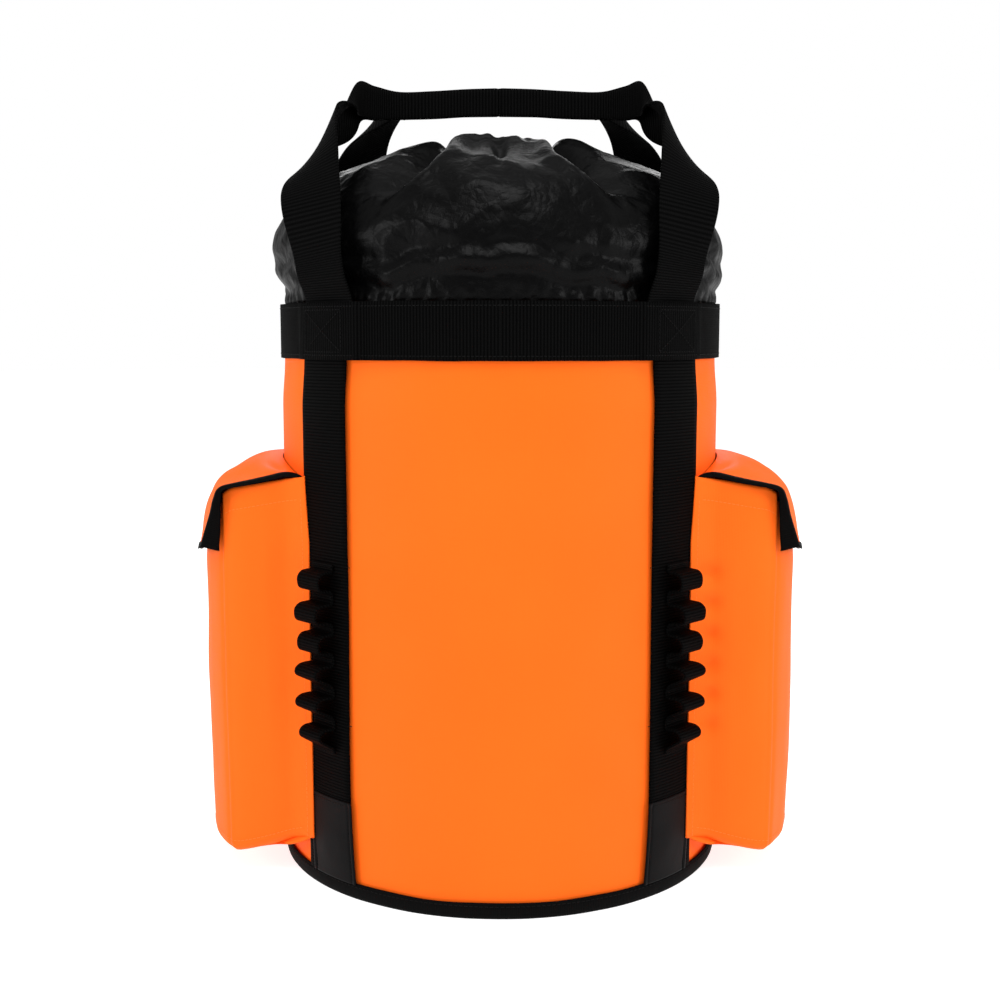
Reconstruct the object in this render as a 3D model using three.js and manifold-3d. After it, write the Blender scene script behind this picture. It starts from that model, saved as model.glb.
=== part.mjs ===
// Hiking backpack: a round, upright load bag with two side pockets, gear loops, haul handles and a harness.
// Millimetres. The origin is the centre of the base's underside, +Z is up and the bag's front faces -Y.
import * as THREE from 'three';
import { mergeVertices } from 'three/addons/utils/BufferGeometryUtils.js';
import Module from 'manifold-3d';

const wasm = await Module();
wasm.setup();

// ---- driving dimensions ----
const GAP = 0.3;               // clearance between two pieces that lie on each other
const BODY_RADIUS = 170;       // outside of the body fabric
const BODY_HEIGHT = 428;       // top edge of the body fabric
const FABRIC = 2;              // laminated body fabric with its inner coating
const LINER = 1.6;             // coated nylon of the collar
const WEB = 1.6;               // thickness of every webbing
const STRAP_WIDTH = 50;        // load straps and the handles they turn into
const STRAP_ANGLE = 46.7;      // strap centre lines, degrees round from the front and from the back
const STRAP_STUB = 22;         // how far a strap stands above the band before the handle bends
const BAND_WIDTH = 40;         // webbing round the top of the body
const BAND_BELOW = 1.6;         // band's top edge, under the body fabric's top edge
const BASE_PANEL = 2;
const BOARD = 3;               // stiffener board on the base panel
const BINDING_HEIGHT = 12;
const PATCH_TOP = 66;          // top of the foot patches
const PATCH_MARGIN = 1.5;       // foot patch beyond each edge of its strap
const PATCH_SKIN = 1.4;
const LOOP_WEB_WIDTH = 25;     // gear loop webbing
const LOOP_COUNT = 6;
const LOOP_PITCH = 22.7;
const LOOP_TOP = 230;          // centre of the highest gear loop
const LOOP_MOUTH = 16;
const LOOP_DEPTH = 16;
const COLLAR_TUCK = 32;        // how far the collar is sewn down inside the body
const COLLAR_RISE = 119;       // from the body's top edge to the collar's crown
const COLLAR_BULGE = 0.4;
const MOUTH_RADIUS = 21;       // gathered mouth, inside its hem
const CORD = 4;                // drawcord diameter
const LOCK_WALL = 2.5;
const BUTTON_TRAVEL = 4;
const SPRING_LENGTH = 9;
const SPRING_WIRE = 0.9;
const POCKET_REACH = 65;       // how far a pocket stands out from the body
const POCKET_SEAM = 1.7;       // a pocket's end walls, in from the edges of the straps beside it
const POCKET_TOP = 286;
const POCKET_RAISE = 6;        // pocket's underside above the base binding
const POCKET_CORNER = 30;
const POCKET_ROUND = 28;       // rounding of the lower outer edge
const FLAP_RISE = 15;          // top of the flap above the pocket's rim, at the body
const FLAP_DROP = 45;          // how far the flap hangs below the pocket's rim
const FLAP_SKIN = 2.4;
const FLAP_OVER = 2;           // flap beyond each end of its pocket
const BINDING_SKIN = 1.2;
const HOOK_SKIN = 1.4;
const HOOK_LENGTH = 80;
const HOOK_HEIGHT = 22;
const GRIP_FOLD = 4;           // the grip's webbing, folded in half, is this much less than half its width
const GRIP_THICK = 5;
const GRIP_INSET = 64;         // the grip's ends, in from the body's side
const GRIP_RISE = 145;         // underside of the grip above the body's top edge
const PAD_THICK = 12;          // foam back pad
const PAD_HALF_ANGLE = 36;
const PAD_LOW = 80;
const PAD_BELOW = 8;           // pad's top edge, under the yoke
const YOKE_BELOW = 3.4;        // yoke's top edge, under the band
const YOKE_HEIGHT = 43;
const YOKE_SKIN = 3;
const HARNESS_ANGLE = 22;      // each shoulder strap's plane, degrees from the back
const CUSHION = 12;            // shoulder strap thickness
const CUSHION_WIDTH = 65;
const CUSHION_END = 83.5;      // strap's lower end above the pad's lower edge
const CUSHION_BOW = 48;        // how far the strap bows out from the pad
const LADDER_WIDTH = 34;
const LADDER_HEIGHT = 30;
const LADDER_THICK = 4;
const HARNESS_WEB = 25;
const ANCHOR_LOW = 24;
const ANCHOR_HIGH = 52;
const RING_SIDES = 96;

// ---- sizes that follow from them ----
const strapIn = BODY_RADIUS + GAP;
const strapOut = strapIn + WEB;
const overIn = strapOut + GAP;
const boardRadius = BODY_RADIUS - FABRIC - GAP;
const bandTop = BODY_HEIGHT - BAND_BELOW;
const bandLow = bandTop - BAND_WIDTH;
const patchWidth = STRAP_WIDTH + 2 * PATCH_MARGIN;
const stubTop = BODY_HEIGHT + STRAP_STUB;
const crown = BODY_HEIGHT + COLLAR_RISE;
const cordZ = crown - 16;
const hemOut = MOUTH_RADIUS + CORD + 2.5;    // outside of the channel the cord runs in
const lockWindow = CORD + 2 * GAP + 0.6;
const lockBore = lockWindow + 2.3;
const lockRadius = lockBore + LOCK_WALL;
const pocketFace = BODY_RADIUS + POCKET_REACH;
const pocketLow = BINDING_HEIGHT + POCKET_RAISE;
const strapEdge = THREE.MathUtils.degToRad(STRAP_ANGLE) + STRAP_WIDTH / strapIn / 2;
const pocketHalf = strapIn * Math.cos(strapEdge) - POCKET_SEAM;
const flapHalf = pocketHalf + FLAP_OVER;
const hingeX = BODY_RADIUS + FABRIC + 1;
const flapTop = POCKET_TOP + FLAP_RISE;
const flapInside = pocketFace + 2 * HOOK_SKIN + 3 * GAP;
const gripHalf = BODY_RADIUS - GRIP_INSET;
const gripHeight = STRAP_WIDTH / 2 - GRIP_FOLD;
const gripPlace = STRAP_WIDTH / 2 - 12;
const yokeHigh = bandLow - YOKE_BELOW;
const yokeLow = yokeHigh - YOKE_HEIGHT;
const padHigh = yokeLow - PAD_BELOW;

// ---- materials ----
function cloth(color, roughness, metalness = 0) {
  return new THREE.MeshStandardMaterial({ color, roughness, metalness });
}
const ORANGE = 0xff7c28;
const WEBBING = 0x101010;
const COATED = 0x141416;

// ---- geometry helpers ----
function solidOf(geometry) {
  const plain = geometry.clone();
  plain.deleteAttribute('normal');
  plain.deleteAttribute('uv');
  const merged = mergeVertices(plain, 1e-4);
  const mesh = new wasm.Mesh({
    numProp: 3,
    vertProperties: new Float32Array(merged.attributes.position.array),
    triVerts: new Uint32Array(merged.index.array),
  });
  return new wasm.Manifold(mesh);
}

function geometryOf(solid) {
  const mesh = solid.getMesh();
  const geometry = new THREE.BufferGeometry();
  geometry.setAttribute('position', new THREE.Float32BufferAttribute(mesh.vertProperties, 3));
  geometry.setIndex(Array.from(mesh.triVerts));
  geometry.computeVertexNormals();
  return geometry;
}

// A lathe ring round Z from a closed profile of [radius, height] pairs.
function ring(profile, sides = RING_SIDES) {
  const points = profile.map(([r, z]) => new THREE.Vector2(r, z));
  points.push(points[0].clone());
  return new THREE.LatheGeometry(points, sides).rotateX(Math.PI / 2);
}

function tube(rIn, rOut, low, high, sides) {
  return ring([[rIn, low], [rOut, low], [rOut, high], [rIn, high]], sides);
}

function disc(radius, low, high, sides = RING_SIDES) {
  const points = [[0, low], [radius, low], [radius, high], [0, high]];
  const profile = points.map(([r, z]) => new THREE.Vector2(r, z));
  return new THREE.LatheGeometry(profile, sides).rotateX(Math.PI / 2);
}

// A prism of a flat outline, from one height to another.
function prism(shape, low, high, curveSegments = 8) {
  const geometry = new THREE.ExtrudeGeometry(shape, {
    depth: high - low,
    bevelEnabled: false,
    curveSegments,
  });
  return geometry.translate(0, 0, low);
}

function polygon(points) {
  return new THREE.Shape(points.map(([x, y]) => new THREE.Vector2(x, y)));
}

function box(low, high) {
  const size = high.map((value, i) => value - low[i]);
  const middle = high.map((value, i) => (value + low[i]) / 2);
  return new THREE.BoxGeometry(...size).translate(...middle);
}

// A piece of webbing or padding that lies round the body, centred at an angle from the front.
function wrapped(rIn, thickness, degrees, width, low, high, steps = 6) {
  const middle = THREE.MathUtils.degToRad(degrees - 90);
  const half = width / rIn / 2;
  const shape = new THREE.Shape();
  shape.absarc(0, 0, rIn + thickness, middle - half, middle + half, false);
  shape.absarc(0, 0, rIn, middle + half, middle - half, true);
  shape.closePath();
  return prism(shape, low, high, steps);
}

// The outline of a strip of even thickness along a centre line.
function stripOutline(line, thickness) {
  const left = [];
  const right = [];
  line.forEach(([x, y], i) => {
    const before = line[Math.max(i - 1, 0)];
    const after = line[Math.min(i + 1, line.length - 1)];
    const run = new THREE.Vector2(after[0] - before[0], after[1] - before[1]).normalize();
    left.push([x - run.y * thickness / 2, y + run.x * thickness / 2]);
    right.push([x + run.y * thickness / 2, y - run.x * thickness / 2]);
  });
  return right.concat(left.reverse());
}

function smooth(points, steps) {
  const curve = new THREE.SplineCurve(points.map(([x, y]) => new THREE.Vector2(x, y)));
  return curve.getPoints(steps).map((p) => [p.x, p.y]);
}

// A strip bent in the plane of radius and height, as wide as stated, turned to stand at an angle
// from the front.
function bentStrip(line, thickness, width, degrees) {
  const geometry = prism(polygon(stripOutline(line, thickness)), -width / 2, width / 2);
  geometry.rotateX(Math.PI / 2);
  return geometry.rotateZ(THREE.MathUtils.degToRad(degrees - 90));
}

const SIDES = [['left', -1], ['right', 1]];
const bag = new THREE.Group();

function add(name, geometry, material) {
  const mesh = new THREE.Mesh(geometry, material);
  mesh.name = name;
  bag.add(mesh);
  return mesh;
}

// ---- body, base and band ----
function makeBody() {
  const lift = BASE_PANEL + GAP;
  add('body_shell', tube(BODY_RADIUS - FABRIC, BODY_RADIUS, lift, BODY_HEIGHT), cloth(ORANGE, 0.55));
  add('base_panel', disc(BODY_RADIUS, 0, BASE_PANEL), cloth(0x121212, 0.7));
  add('base_board', disc(boardRadius, lift, lift + BOARD), cloth(0x2a2a2c, 0.8));
  add('base_binding', tube(strapIn, strapIn + FABRIC, 0, BINDING_HEIGHT), cloth(0x0b0b0b, 0.8));
  add('top_band', tube(overIn, overIn + WEB, bandLow, bandTop), cloth(WEBBING, 0.75));
}

// ---- collar, its hem, the drawcord and the cord lock ----
function makeCollar() {
  const seat = boardRadius - LINER / 2;
  const up = (share) => BODY_HEIGHT + COLLAR_RISE * share;
  const line = smooth([
    [seat, up(0)],
    [seat + COLLAR_BULGE, up(0.28)],
    [seat - 4, up(0.48)],
    [seat - 17, up(0.66)],
    [seat - 40, up(0.84)],
    [seat - 76, up(0.95)],
    [MOUTH_RADIUS + 33, up(0.995)],
    [MOUTH_RADIUS + 15, up(0.975)],
  ], 13);
  const wall = hemOut + 1.4;
  const whole = [[seat, BODY_HEIGHT - COLLAR_TUCK]].concat(line);
  whole.push([wall + 1.6, cordZ + 7], [wall, cordZ + 4], [wall, cordZ - 4]);
  add('collar', ring(stripOutline(whole, LINER), 56), cloth(COATED, 0.35));
}

function makeHem() {
  const skin = 1.2;
  const half = CORD / 2 + 3;
  const channel = [
    [MOUTH_RADIUS, cordZ - half],
    [hemOut, cordZ - half],
    [hemOut, cordZ + half],
    [MOUTH_RADIUS, cordZ + half],
    [MOUTH_RADIUS, cordZ + half - skin],
    [hemOut - skin, cordZ + half - skin],
    [hemOut - skin, cordZ - half + skin],
    [MOUTH_RADIUS, cordZ - half + skin],
  ];
  add('collar_hem', ring(channel, 48), cloth(COATED, 0.5));
}

function makeDrawcord() {
  const beside = CORD / 2 + GAP;
  const run = MOUTH_RADIUS + CORD / 2 + 0.8;
  const leg = [[-lockRadius + 1, 0], [0, 0], [lockRadius + 1, 0], [run - 6, 0.9]];
  const points = leg.map(([y, out]) => new THREE.Vector3(-beside - out, y, cordZ));
  for (let angle = 110; angle <= 430; angle += 20) {
    const turn = THREE.MathUtils.degToRad(angle);
    points.push(new THREE.Vector3(run * Math.cos(turn), run * Math.sin(turn), cordZ));
  }
  leg.reverse().forEach(([y, out]) => points.push(new THREE.Vector3(beside + out, y, cordZ)));
  const section = new THREE.Shape();
  section.absarc(0, 0, CORD / 2, 0, 2 * Math.PI, false);
  const cord = new THREE.ExtrudeGeometry(section, {
    steps: 52,
    curveSegments: 4,
    bevelEnabled: false,
    extrudePath: new THREE.CatmullRomCurve3(points),
  });
  add('drawcord', cord, cloth(0x1a1a1a, 0.8));
}

function makeCordLock() {
  const sides = 32;
  const cordLow = cordZ - CORD / 2 - GAP;
  const cordHigh = cordZ + CORD / 2 + GAP;
  const plungerLow = cordLow - 9;
  const floor = plungerLow - GAP - SPRING_LENGTH - GAP;
  const bodyTop = cordHigh + 7;
  const reach = lockRadius + 2;
  const slot = solidOf(box([-lockWindow, -reach, cordLow], [lockWindow, reach, cordHigh]));
  const bore = solidOf(disc(lockBore, floor, bodyTop + 1, sides));
  const barrel = solidOf(disc(lockRadius, floor - 2.5, bodyTop, sides));
  add('lock_body', geometryOf(barrel.subtract(bore).subtract(slot)), cloth(0x161616, 0.45));

  const plunger = solidOf(disc(lockBore - GAP, plungerLow, bodyTop + BUTTON_TRAVEL + 1.5, sides));
  const eyeHigh = cordHigh + BUTTON_TRAVEL + GAP;
  const eye = solidOf(box([-lockWindow, -reach, cordLow], [lockWindow, reach, eyeHigh]));
  add('lock_button', geometryOf(plunger.subtract(eye)), cloth(0x1c1c1c, 0.4));

  const turns = 4;
  const coil = [];
  const low = floor + GAP + SPRING_WIRE / 2;
  const rise = SPRING_LENGTH - SPRING_WIRE;
  for (let i = 0; i <= turns * 12; i += 1) {
    const turn = i / 12 * 2 * Math.PI;
    const radius = lockBore - 2.2;
    const height = low + rise * i / (turns * 12);
    coil.push(new THREE.Vector3(radius * Math.cos(turn), radius * Math.sin(turn), height));
  }
  const wire = new THREE.Shape();
  wire.absarc(0, 0, SPRING_WIRE / 2, 0, 2 * Math.PI, false);
  const spring = new THREE.ExtrudeGeometry(wire, {
    steps: turns * 12,
    curveSegments: 3,
    bevelEnabled: false,
    extrudePath: new THREE.CatmullRomCurve3(coil),
  });
  add('lock_spring', spring, cloth(0x9a9a9a, 0.3, 1));
}

// ---- load straps, foot patches and gear loops ----
function makeStraps() {
  const low = BINDING_HEIGHT + GAP;
  for (const [end, back] of [['front', 0], ['rear', 1]]) {
    for (const [side, sign] of SIDES) {
      const angle = sign * (back ? 180 - STRAP_ANGLE : STRAP_ANGLE);
      const strap = wrapped(strapIn, WEB, angle, STRAP_WIDTH, low, stubTop);
      const patch = wrapped(overIn, PATCH_SKIN, angle, patchWidth, low, PATCH_TOP);
      add(`strap_${end}_${side}`, strap, cloth(WEBBING, 0.75));
      add(`foot_patch_${end}_${side}`, patch, cloth(0x1a1a1b, 0.4));
    }
  }
}

// Loops stand out from the strap between bar tacks; the lower ones droop.
function makeGearLoops() {
  const flat = overIn + WEB / 2;
  const line = [[flat, LOOP_TOP + LOOP_PITCH / 2 + 8]];
  for (let loop = 0; loop < LOOP_COUNT; loop += 1) {
    const centre = LOOP_TOP - LOOP_PITCH * loop;
    const droop = loop < LOOP_COUNT / 2 ? 2 : 7;
    for (let step = 0; step <= 10; step += 1) {
      const share = step / 10;
      const lift = Math.sin(Math.PI * share);
      const down = centre + LOOP_MOUTH * (0.5 - share) - droop * lift * lift + droop / 2;
      line.push([flat + (LOOP_DEPTH - WEB) * lift ** 0.85, down]);
    }
  }
  line.push([flat, LOOP_TOP - LOOP_PITCH * (LOOP_COUNT - 0.5) - 8]);
  for (const [side, sign] of SIDES) {
    const strip = bentStrip(line, WEB, LOOP_WEB_WIDTH, sign * STRAP_ANGLE);
    add(`gear_loops_${side}`, strip, cloth(WEBBING, 0.75));
  }
}

// ---- side pockets ----
// Plan of the right-hand pocket, grown or shrunk by an inset.
function pocketPlan(inset) {
  const face = pocketFace - inset;
  const half = pocketHalf - inset;
  const square = half - 12;
  const rounding = Math.max(POCKET_CORNER - inset, 1);
  const shape = new THREE.Shape();
  shape.moveTo(0, -half);
  shape.lineTo(BODY_RADIUS - 20, -half);
  shape.lineTo(face - rounding, -square);
  shape.quadraticCurveTo(face, -square, face, -square + rounding);
  shape.lineTo(face, square - rounding);
  shape.quadraticCurveTo(face, square, face - rounding, square);
  shape.lineTo(BODY_RADIUS - 20, half);
  shape.lineTo(0, half);
  shape.closePath();
  return shape;
}

// The pocket's front view, with its lower outer edge rounded.
function pocketFront(inset, top) {
  const face = pocketFace - inset;
  const low = pocketLow + inset;
  const rounding = Math.max(POCKET_ROUND - inset, 1);
  const shape = new THREE.Shape();
  shape.moveTo(0, low);
  shape.lineTo(face - rounding, low);
  shape.quadraticCurveTo(face, low, face, low + rounding);
  shape.lineTo(face, top);
  shape.lineTo(0, top);
  shape.closePath();
  return prism(shape, -pocketHalf - 5, pocketHalf + 5).rotateX(Math.PI / 2);
}

function pocketBlock(inset, top) {
  const plan = solidOf(prism(pocketPlan(inset), pocketLow + inset, top));
  return plan.intersect(solidOf(pocketFront(inset, top + 1)));
}

function mirrored(geometry, sign) {
  return sign > 0 ? geometry : geometry.rotateZ(Math.PI);
}

function makePockets() {
  const body = solidOf(disc(strapIn, -5, BODY_HEIGHT));
  const reach = BODY_RADIUS + POCKET_REACH + 20;
  const clear = strapEdge + 1.2 * GAP / BODY_RADIUS + 0.004;
  const wedge = polygon([
    [0, 0],
    [reach * Math.sin(clear) * 2, -reach * Math.cos(clear) * 2],
    [reach * Math.sin(clear) * 2, reach * Math.cos(clear) * 2],
  ]);
  const between = solidOf(prism(wedge, -5, BODY_HEIGHT));
  const block = pocketBlock(0, POCKET_TOP).subtract(pocketBlock(FABRIC, POCKET_TOP + 5));
  const shell = block.subtract(body).intersect(between);
  for (const [side, sign] of SIDES) {
    add(`pocket_${side}`, mirrored(geometryOf(shell), sign), cloth(ORANGE, 0.55));
    const low = POCKET_TOP - FLAP_DROP + 8;
    const loop = box(
      [pocketFace + GAP, -HOOK_LENGTH / 2, low],
      [pocketFace + GAP + HOOK_SKIN, HOOK_LENGTH / 2, low + HOOK_HEIGHT],
    );
    add(`pocket_loop_tape_${side}`, mirrored(loop, sign), cloth(0x151515, 0.95));
  }
}

// The flap falls from the body seam, over the pocket's rim, to its bound lower edge.
function flapLine(inset) {
  const face = flapInside + FLAP_SKIN / 2 - inset;
  const top = flapTop - FLAP_SKIN / 2 - inset;
  const low = POCKET_TOP - FLAP_DROP;
  const start = hingeX + 2 * GAP;
  const drop = smooth([
    [face - 20, top - 1],
    [face - 4, top - 4],
    [face, top - 12],
    [face + 3, top - 34],
    [face + 7, low],
  ], 12);
  return [[start, top]].concat(drop);
}

function makeFlaps() {
  const root = solidOf(box([0, -flapHalf, flapTop - FLAP_SKIN], [hingeX, flapHalf, flapTop]));
  const body = solidOf(disc(strapOut + GAP, -5, BODY_HEIGHT));
  const rootGeometry = geometryOf(root.subtract(body));
  const liningSkin = 1;
  for (const [side, sign] of SIDES) {
    add(`flap_root_${side}`, mirrored(rootGeometry.clone(), sign), cloth(ORANGE, 0.55));

    const span = (line, skin, half) => {
      const outline = polygon(stripOutline(line, skin));
      return prism(outline, -half, half).rotateX(Math.PI / 2);
    };
    const outer = span(flapLine(0), FLAP_SKIN, flapHalf);
    add(`pocket_flap_${side}`, mirrored(outer, sign), cloth(ORANGE, 0.55));

    const inset = FLAP_SKIN / 2 + GAP + liningSkin / 2;
    const inner = flapLine(inset).slice(0, -6);
    add(`flap_lining_${side}`, mirrored(span(inner, liningSkin, flapHalf - 3), sign), cloth(0x101010, 0.8));

    const low = POCKET_TOP - FLAP_DROP;
    const outside = FLAP_SKIN / 2 + GAP + BINDING_SKIN / 2;
    const edge = span(flapLine(-outside).slice(-4), BINDING_SKIN, flapHalf);
    add(`flap_binding_${side}`, mirrored(edge, sign), cloth(0x0b0b0b, 0.8));

    const tapeIn = pocketFace + 2 * GAP + HOOK_SKIN;
    const hook = box(
      [tapeIn, -HOOK_LENGTH / 2, low + 8],
      [tapeIn + HOOK_SKIN, HOOK_LENGTH / 2, low + 8 + HOOK_HEIGHT],
    );
    add(`flap_hook_tape_${side}`, mirrored(hook, sign), cloth(0x151515, 0.95));
  }
}

// ---- haul handles ----
// Each handle is the two straps of one face carried up over the collar and folded into a grip.
function makeHandles() {
  const grip = BODY_HEIGHT + GRIP_RISE;
  const angle = THREE.MathUtils.degToRad(STRAP_ANGLE);
  const at = (radius, z) => new THREE.Vector3(
    radius * Math.sin(angle),
    -radius * Math.cos(angle),
    z,
  );
  const points = [
    at(overIn + 1, stubTop + 1.5),
    at(overIn + 5, stubTop + 26),
    new THREE.Vector3(BODY_RADIUS - 39, -0.576 * BODY_RADIUS, stubTop + 62),
    new THREE.Vector3(BODY_RADIUS - 44, -0.388 * BODY_RADIUS, grip - 26),
    new THREE.Vector3(gripHalf + 8, -gripPlace - 28, grip + 4),
    new THREE.Vector3(gripHalf - 14, -gripPlace - 9, grip + gripHeight / 2 + 1),
  ];
  const path = new THREE.CatmullRomCurve3(points);
  const frames = path.computeFrenetFrames(1, false);
  const across = new THREE.Vector3(Math.cos(angle), Math.sin(angle), 0);
  const turn = Math.atan2(across.dot(frames.binormals[0]), across.dot(frames.normals[0]));
  const half = STRAP_WIDTH / 2;
  const corners = [[-half, -WEB / 2], [half, -WEB / 2], [half, WEB / 2], [-half, WEB / 2]];
  const section = polygon(corners.map(([x, y]) => [
    x * Math.cos(turn) - y * Math.sin(turn),
    x * Math.sin(turn) + y * Math.cos(turn),
  ]));
  const leg = new THREE.ExtrudeGeometry(section, { steps: 26, bevelEnabled: false, extrudePath: path });
  const right = solidOf(leg);
  const left = right.mirror([1, 0, 0]);
  const bar = solidOf(box(
    [-gripHalf, -gripPlace - GRIP_THICK / 2, grip],
    [gripHalf, -gripPlace + GRIP_THICK / 2, grip + gripHeight],
  ));
  const front = geometryOf(right.add(left).add(bar));
  add('handle_front', front, cloth(WEBBING, 0.75));
  add('handle_rear', front.clone().rotateZ(Math.PI), cloth(WEBBING, 0.75));
}

// ---- harness ----
function makeHarness() {
  const padWidth = 2 * THREE.MathUtils.degToRad(PAD_HALF_ANGLE) * strapIn;
  add('back_pad', wrapped(strapIn, PAD_THICK, 180, padWidth, PAD_LOW, padHigh, 16), cloth(0x17171a, 0.85));
  add('yoke', wrapped(strapIn, YOKE_SKIN, 180, padWidth, yokeLow, yokeHigh, 16), cloth(WEBBING, 0.75));

  const skin = strapIn + YOKE_SKIN;
  const padFace = strapIn + PAD_THICK;
  const topZ = (yokeLow + yokeHigh) / 2 + 8;
  const bow = padFace + CUSHION_BOW + CUSHION / 2;
  const endZ = PAD_LOW + CUSHION_END;
  const drop = topZ - endZ;
  const cushion = smooth([
    [skin + 5, topZ],
    [skin + CUSHION / 2 + 24, topZ + 10],
    [bow - 8, topZ - 16],
    [bow + 2, topZ - 0.32 * drop],
    [bow, topZ - 0.563 * drop],
    [bow - 14, topZ - 0.825 * drop],
    [bow - 26, endZ],
  ], 22);
  const lockTop = endZ - 6;
  const lockR = bow - 29;
  const lockLow = lockTop - LADDER_HEIGHT;
  const anchorFace = strapIn + 2 * WEB;
  for (const [side, sign] of SIDES) {
    const angle = 180 - sign * HARNESS_ANGLE;
    const strap = bentStrip(cushion, CUSHION, CUSHION_WIDTH, angle);
    add(`shoulder_strap_${side}`, strap, cloth(0x141416, 0.8));

    const frame = solidOf(box(
      [lockR - LADDER_THICK / 2, -LADDER_WIDTH / 2, lockLow],
      [lockR + LADDER_THICK / 2, LADDER_WIDTH / 2, lockTop],
    ));
    const slotHalf = HARNESS_WEB / 2 + 0.6;
    const slot = (low) => solidOf(box([lockR - 9, -slotHalf, low], [lockR + 9, slotHalf, low + 6]));
    const slots = slot(lockTop - 10).add(slot(lockLow + 4)).add(slot(lockLow + 12.5));
    const cut = frame.subtract(slots);
    const lock = geometryOf(cut).rotateZ(THREE.MathUtils.degToRad(angle - 90));
    add(`ladder_lock_${side}`, lock, cloth(0x131313, 0.4));

    const half = HARNESS_WEB / 2;
    const fall = [[lockR, lockLow - 3], [anchorFace + WEB / 2 + 2, ANCHOR_HIGH + 3]];
    const web = bentStrip(fall, WEB, HARNESS_WEB, angle);
    add(`lower_web_${side}`, web, cloth(WEBBING, 0.75));
    const anchor = wrapped(strapIn, 2 * WEB, angle, 2 * half + 6, ANCHOR_LOW, ANCHOR_HIGH, 4);
    add(`web_anchor_${side}`, anchor, cloth(WEBBING, 0.75));
  }
}

makeBody();
makeCollar();
makeHem();
makeDrawcord();
makeCordLock();
makeStraps();
makeGearLoops();
makePockets();
makeFlaps();
makeHandles();
makeHarness();

export default bag;
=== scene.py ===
import math

import bmesh
import bpy
from mathutils import Matrix, Vector, noise


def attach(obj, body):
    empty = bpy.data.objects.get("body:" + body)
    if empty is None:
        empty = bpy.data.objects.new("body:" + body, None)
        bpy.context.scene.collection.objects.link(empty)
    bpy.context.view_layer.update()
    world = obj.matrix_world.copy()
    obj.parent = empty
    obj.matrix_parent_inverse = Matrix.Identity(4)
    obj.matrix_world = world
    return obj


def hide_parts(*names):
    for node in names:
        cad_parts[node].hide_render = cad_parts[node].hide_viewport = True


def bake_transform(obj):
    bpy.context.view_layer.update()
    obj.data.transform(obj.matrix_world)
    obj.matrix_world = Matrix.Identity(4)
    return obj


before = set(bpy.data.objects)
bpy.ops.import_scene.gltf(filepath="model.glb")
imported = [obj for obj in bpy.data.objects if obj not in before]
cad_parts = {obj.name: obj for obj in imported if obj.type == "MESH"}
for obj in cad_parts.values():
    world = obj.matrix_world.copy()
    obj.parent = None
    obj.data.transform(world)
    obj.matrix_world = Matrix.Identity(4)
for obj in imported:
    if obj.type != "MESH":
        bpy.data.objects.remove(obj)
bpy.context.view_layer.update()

# ---------------------------------------------------------------------------------------------
# The studio: a pale sweep under soft light from all round, with a large softbox above the
# camera and one on each side. The camera looks at the bag's front from a little above.
MM = 0.001
EYE = Vector((0.0, -1.083, 0.406))
LENS = 49.4
TILT = 83.0

camera = bpy.data.objects.new("studio_camera", bpy.data.cameras.new("studio_camera"))
camera.data.lens = LENS
camera.data.sensor_width = 36.0
camera.data.clip_end = 60.0
camera.location = EYE
camera.rotation_euler = (math.radians(TILT), 0.0, 0.0)
bpy.context.scene.collection.objects.link(camera)
bpy.context.scene.camera = camera
bpy.context.scene.view_settings.view_transform = "Standard"

world = bpy.data.worlds.new("studio_air")
world.use_nodes = True
air = world.node_tree.nodes["Background"]
air.inputs["Color"].default_value = (1.0, 1.0, 1.0, 1.0)
rays = world.node_tree.nodes.new("ShaderNodeLightPath")
shade = world.node_tree.nodes.new("ShaderNodeMapRange")
shade.inputs["To Min"].default_value = 0.50
shade.inputs["To Max"].default_value = 1.0
world.node_tree.links.new(rays.outputs["Is Camera Ray"], shade.inputs["Value"])
world.node_tree.links.new(shade.outputs["Result"], air.inputs["Strength"])
bpy.context.scene.world = world

for name, place, size, power in (
    ("softbox_above", (0.0, -0.9, 2.1), 1.1, 26.0),
    ("softbox_left", (-1.9, -0.9, 0.9), 0.8, 15.0),
    ("softbox_right", (1.9, -0.9, 0.9), 0.8, 15.0),
    ("softbox_back", (0.0, 2.0, 1.3), 1.2, 16.0),
):
    lamp = bpy.data.objects.new(name, bpy.data.lights.new(name, "AREA"))
    lamp.data.shape = "SQUARE"
    lamp.data.size = size
    lamp.data.energy = power
    lamp.location = place
    lamp.rotation_euler = (Vector((0, 0, 0.3)) - lamp.location).to_track_quat("-Z", "Y").to_euler()
    bpy.context.scene.collection.objects.link(lamp)


def finished(name, bm, material):
    """Puts a bmesh in the scene as a finished piece at the origin."""
    mesh = bpy.data.meshes.new(name)
    bm.to_mesh(mesh)
    bm.free()
    for face in mesh.polygons:
        face.use_smooth = True
    for entry in material if isinstance(material, (list, tuple)) else [material]:
        mesh.materials.append(entry)
    piece = bpy.data.objects.new(name, mesh)
    bpy.context.scene.collection.objects.link(piece)
    return piece


class Value:
    """A socket in a material. Sums, products and powers of values add Math nodes."""

    def __init__(self, tree, socket):
        self.tree = tree
        self.socket = socket

    def math(self, operation, first, second=0.0):
        node = self.tree.nodes.new("ShaderNodeMath")
        node.operation = operation
        for plug, item in zip(node.inputs, (first, second)):
            if isinstance(item, Value):
                self.tree.links.new(item.socket, plug)
            else:
                plug.default_value = item
        return Value(self.tree, node.outputs[0])

    def __add__(self, other):
        return self.math("ADD", self, other)

    def __sub__(self, other):
        return self.math("SUBTRACT", self, other)

    def __rsub__(self, other):
        return self.math("SUBTRACT", other, self)

    def __mul__(self, other):
        return self.math("MULTIPLY", self, other)

    def __truediv__(self, other):
        return self.math("DIVIDE", self, other)

    def __pow__(self, other):
        return self.math("POWER", self, other)

    __radd__ = __add__
    __rmul__ = __mul__


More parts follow.
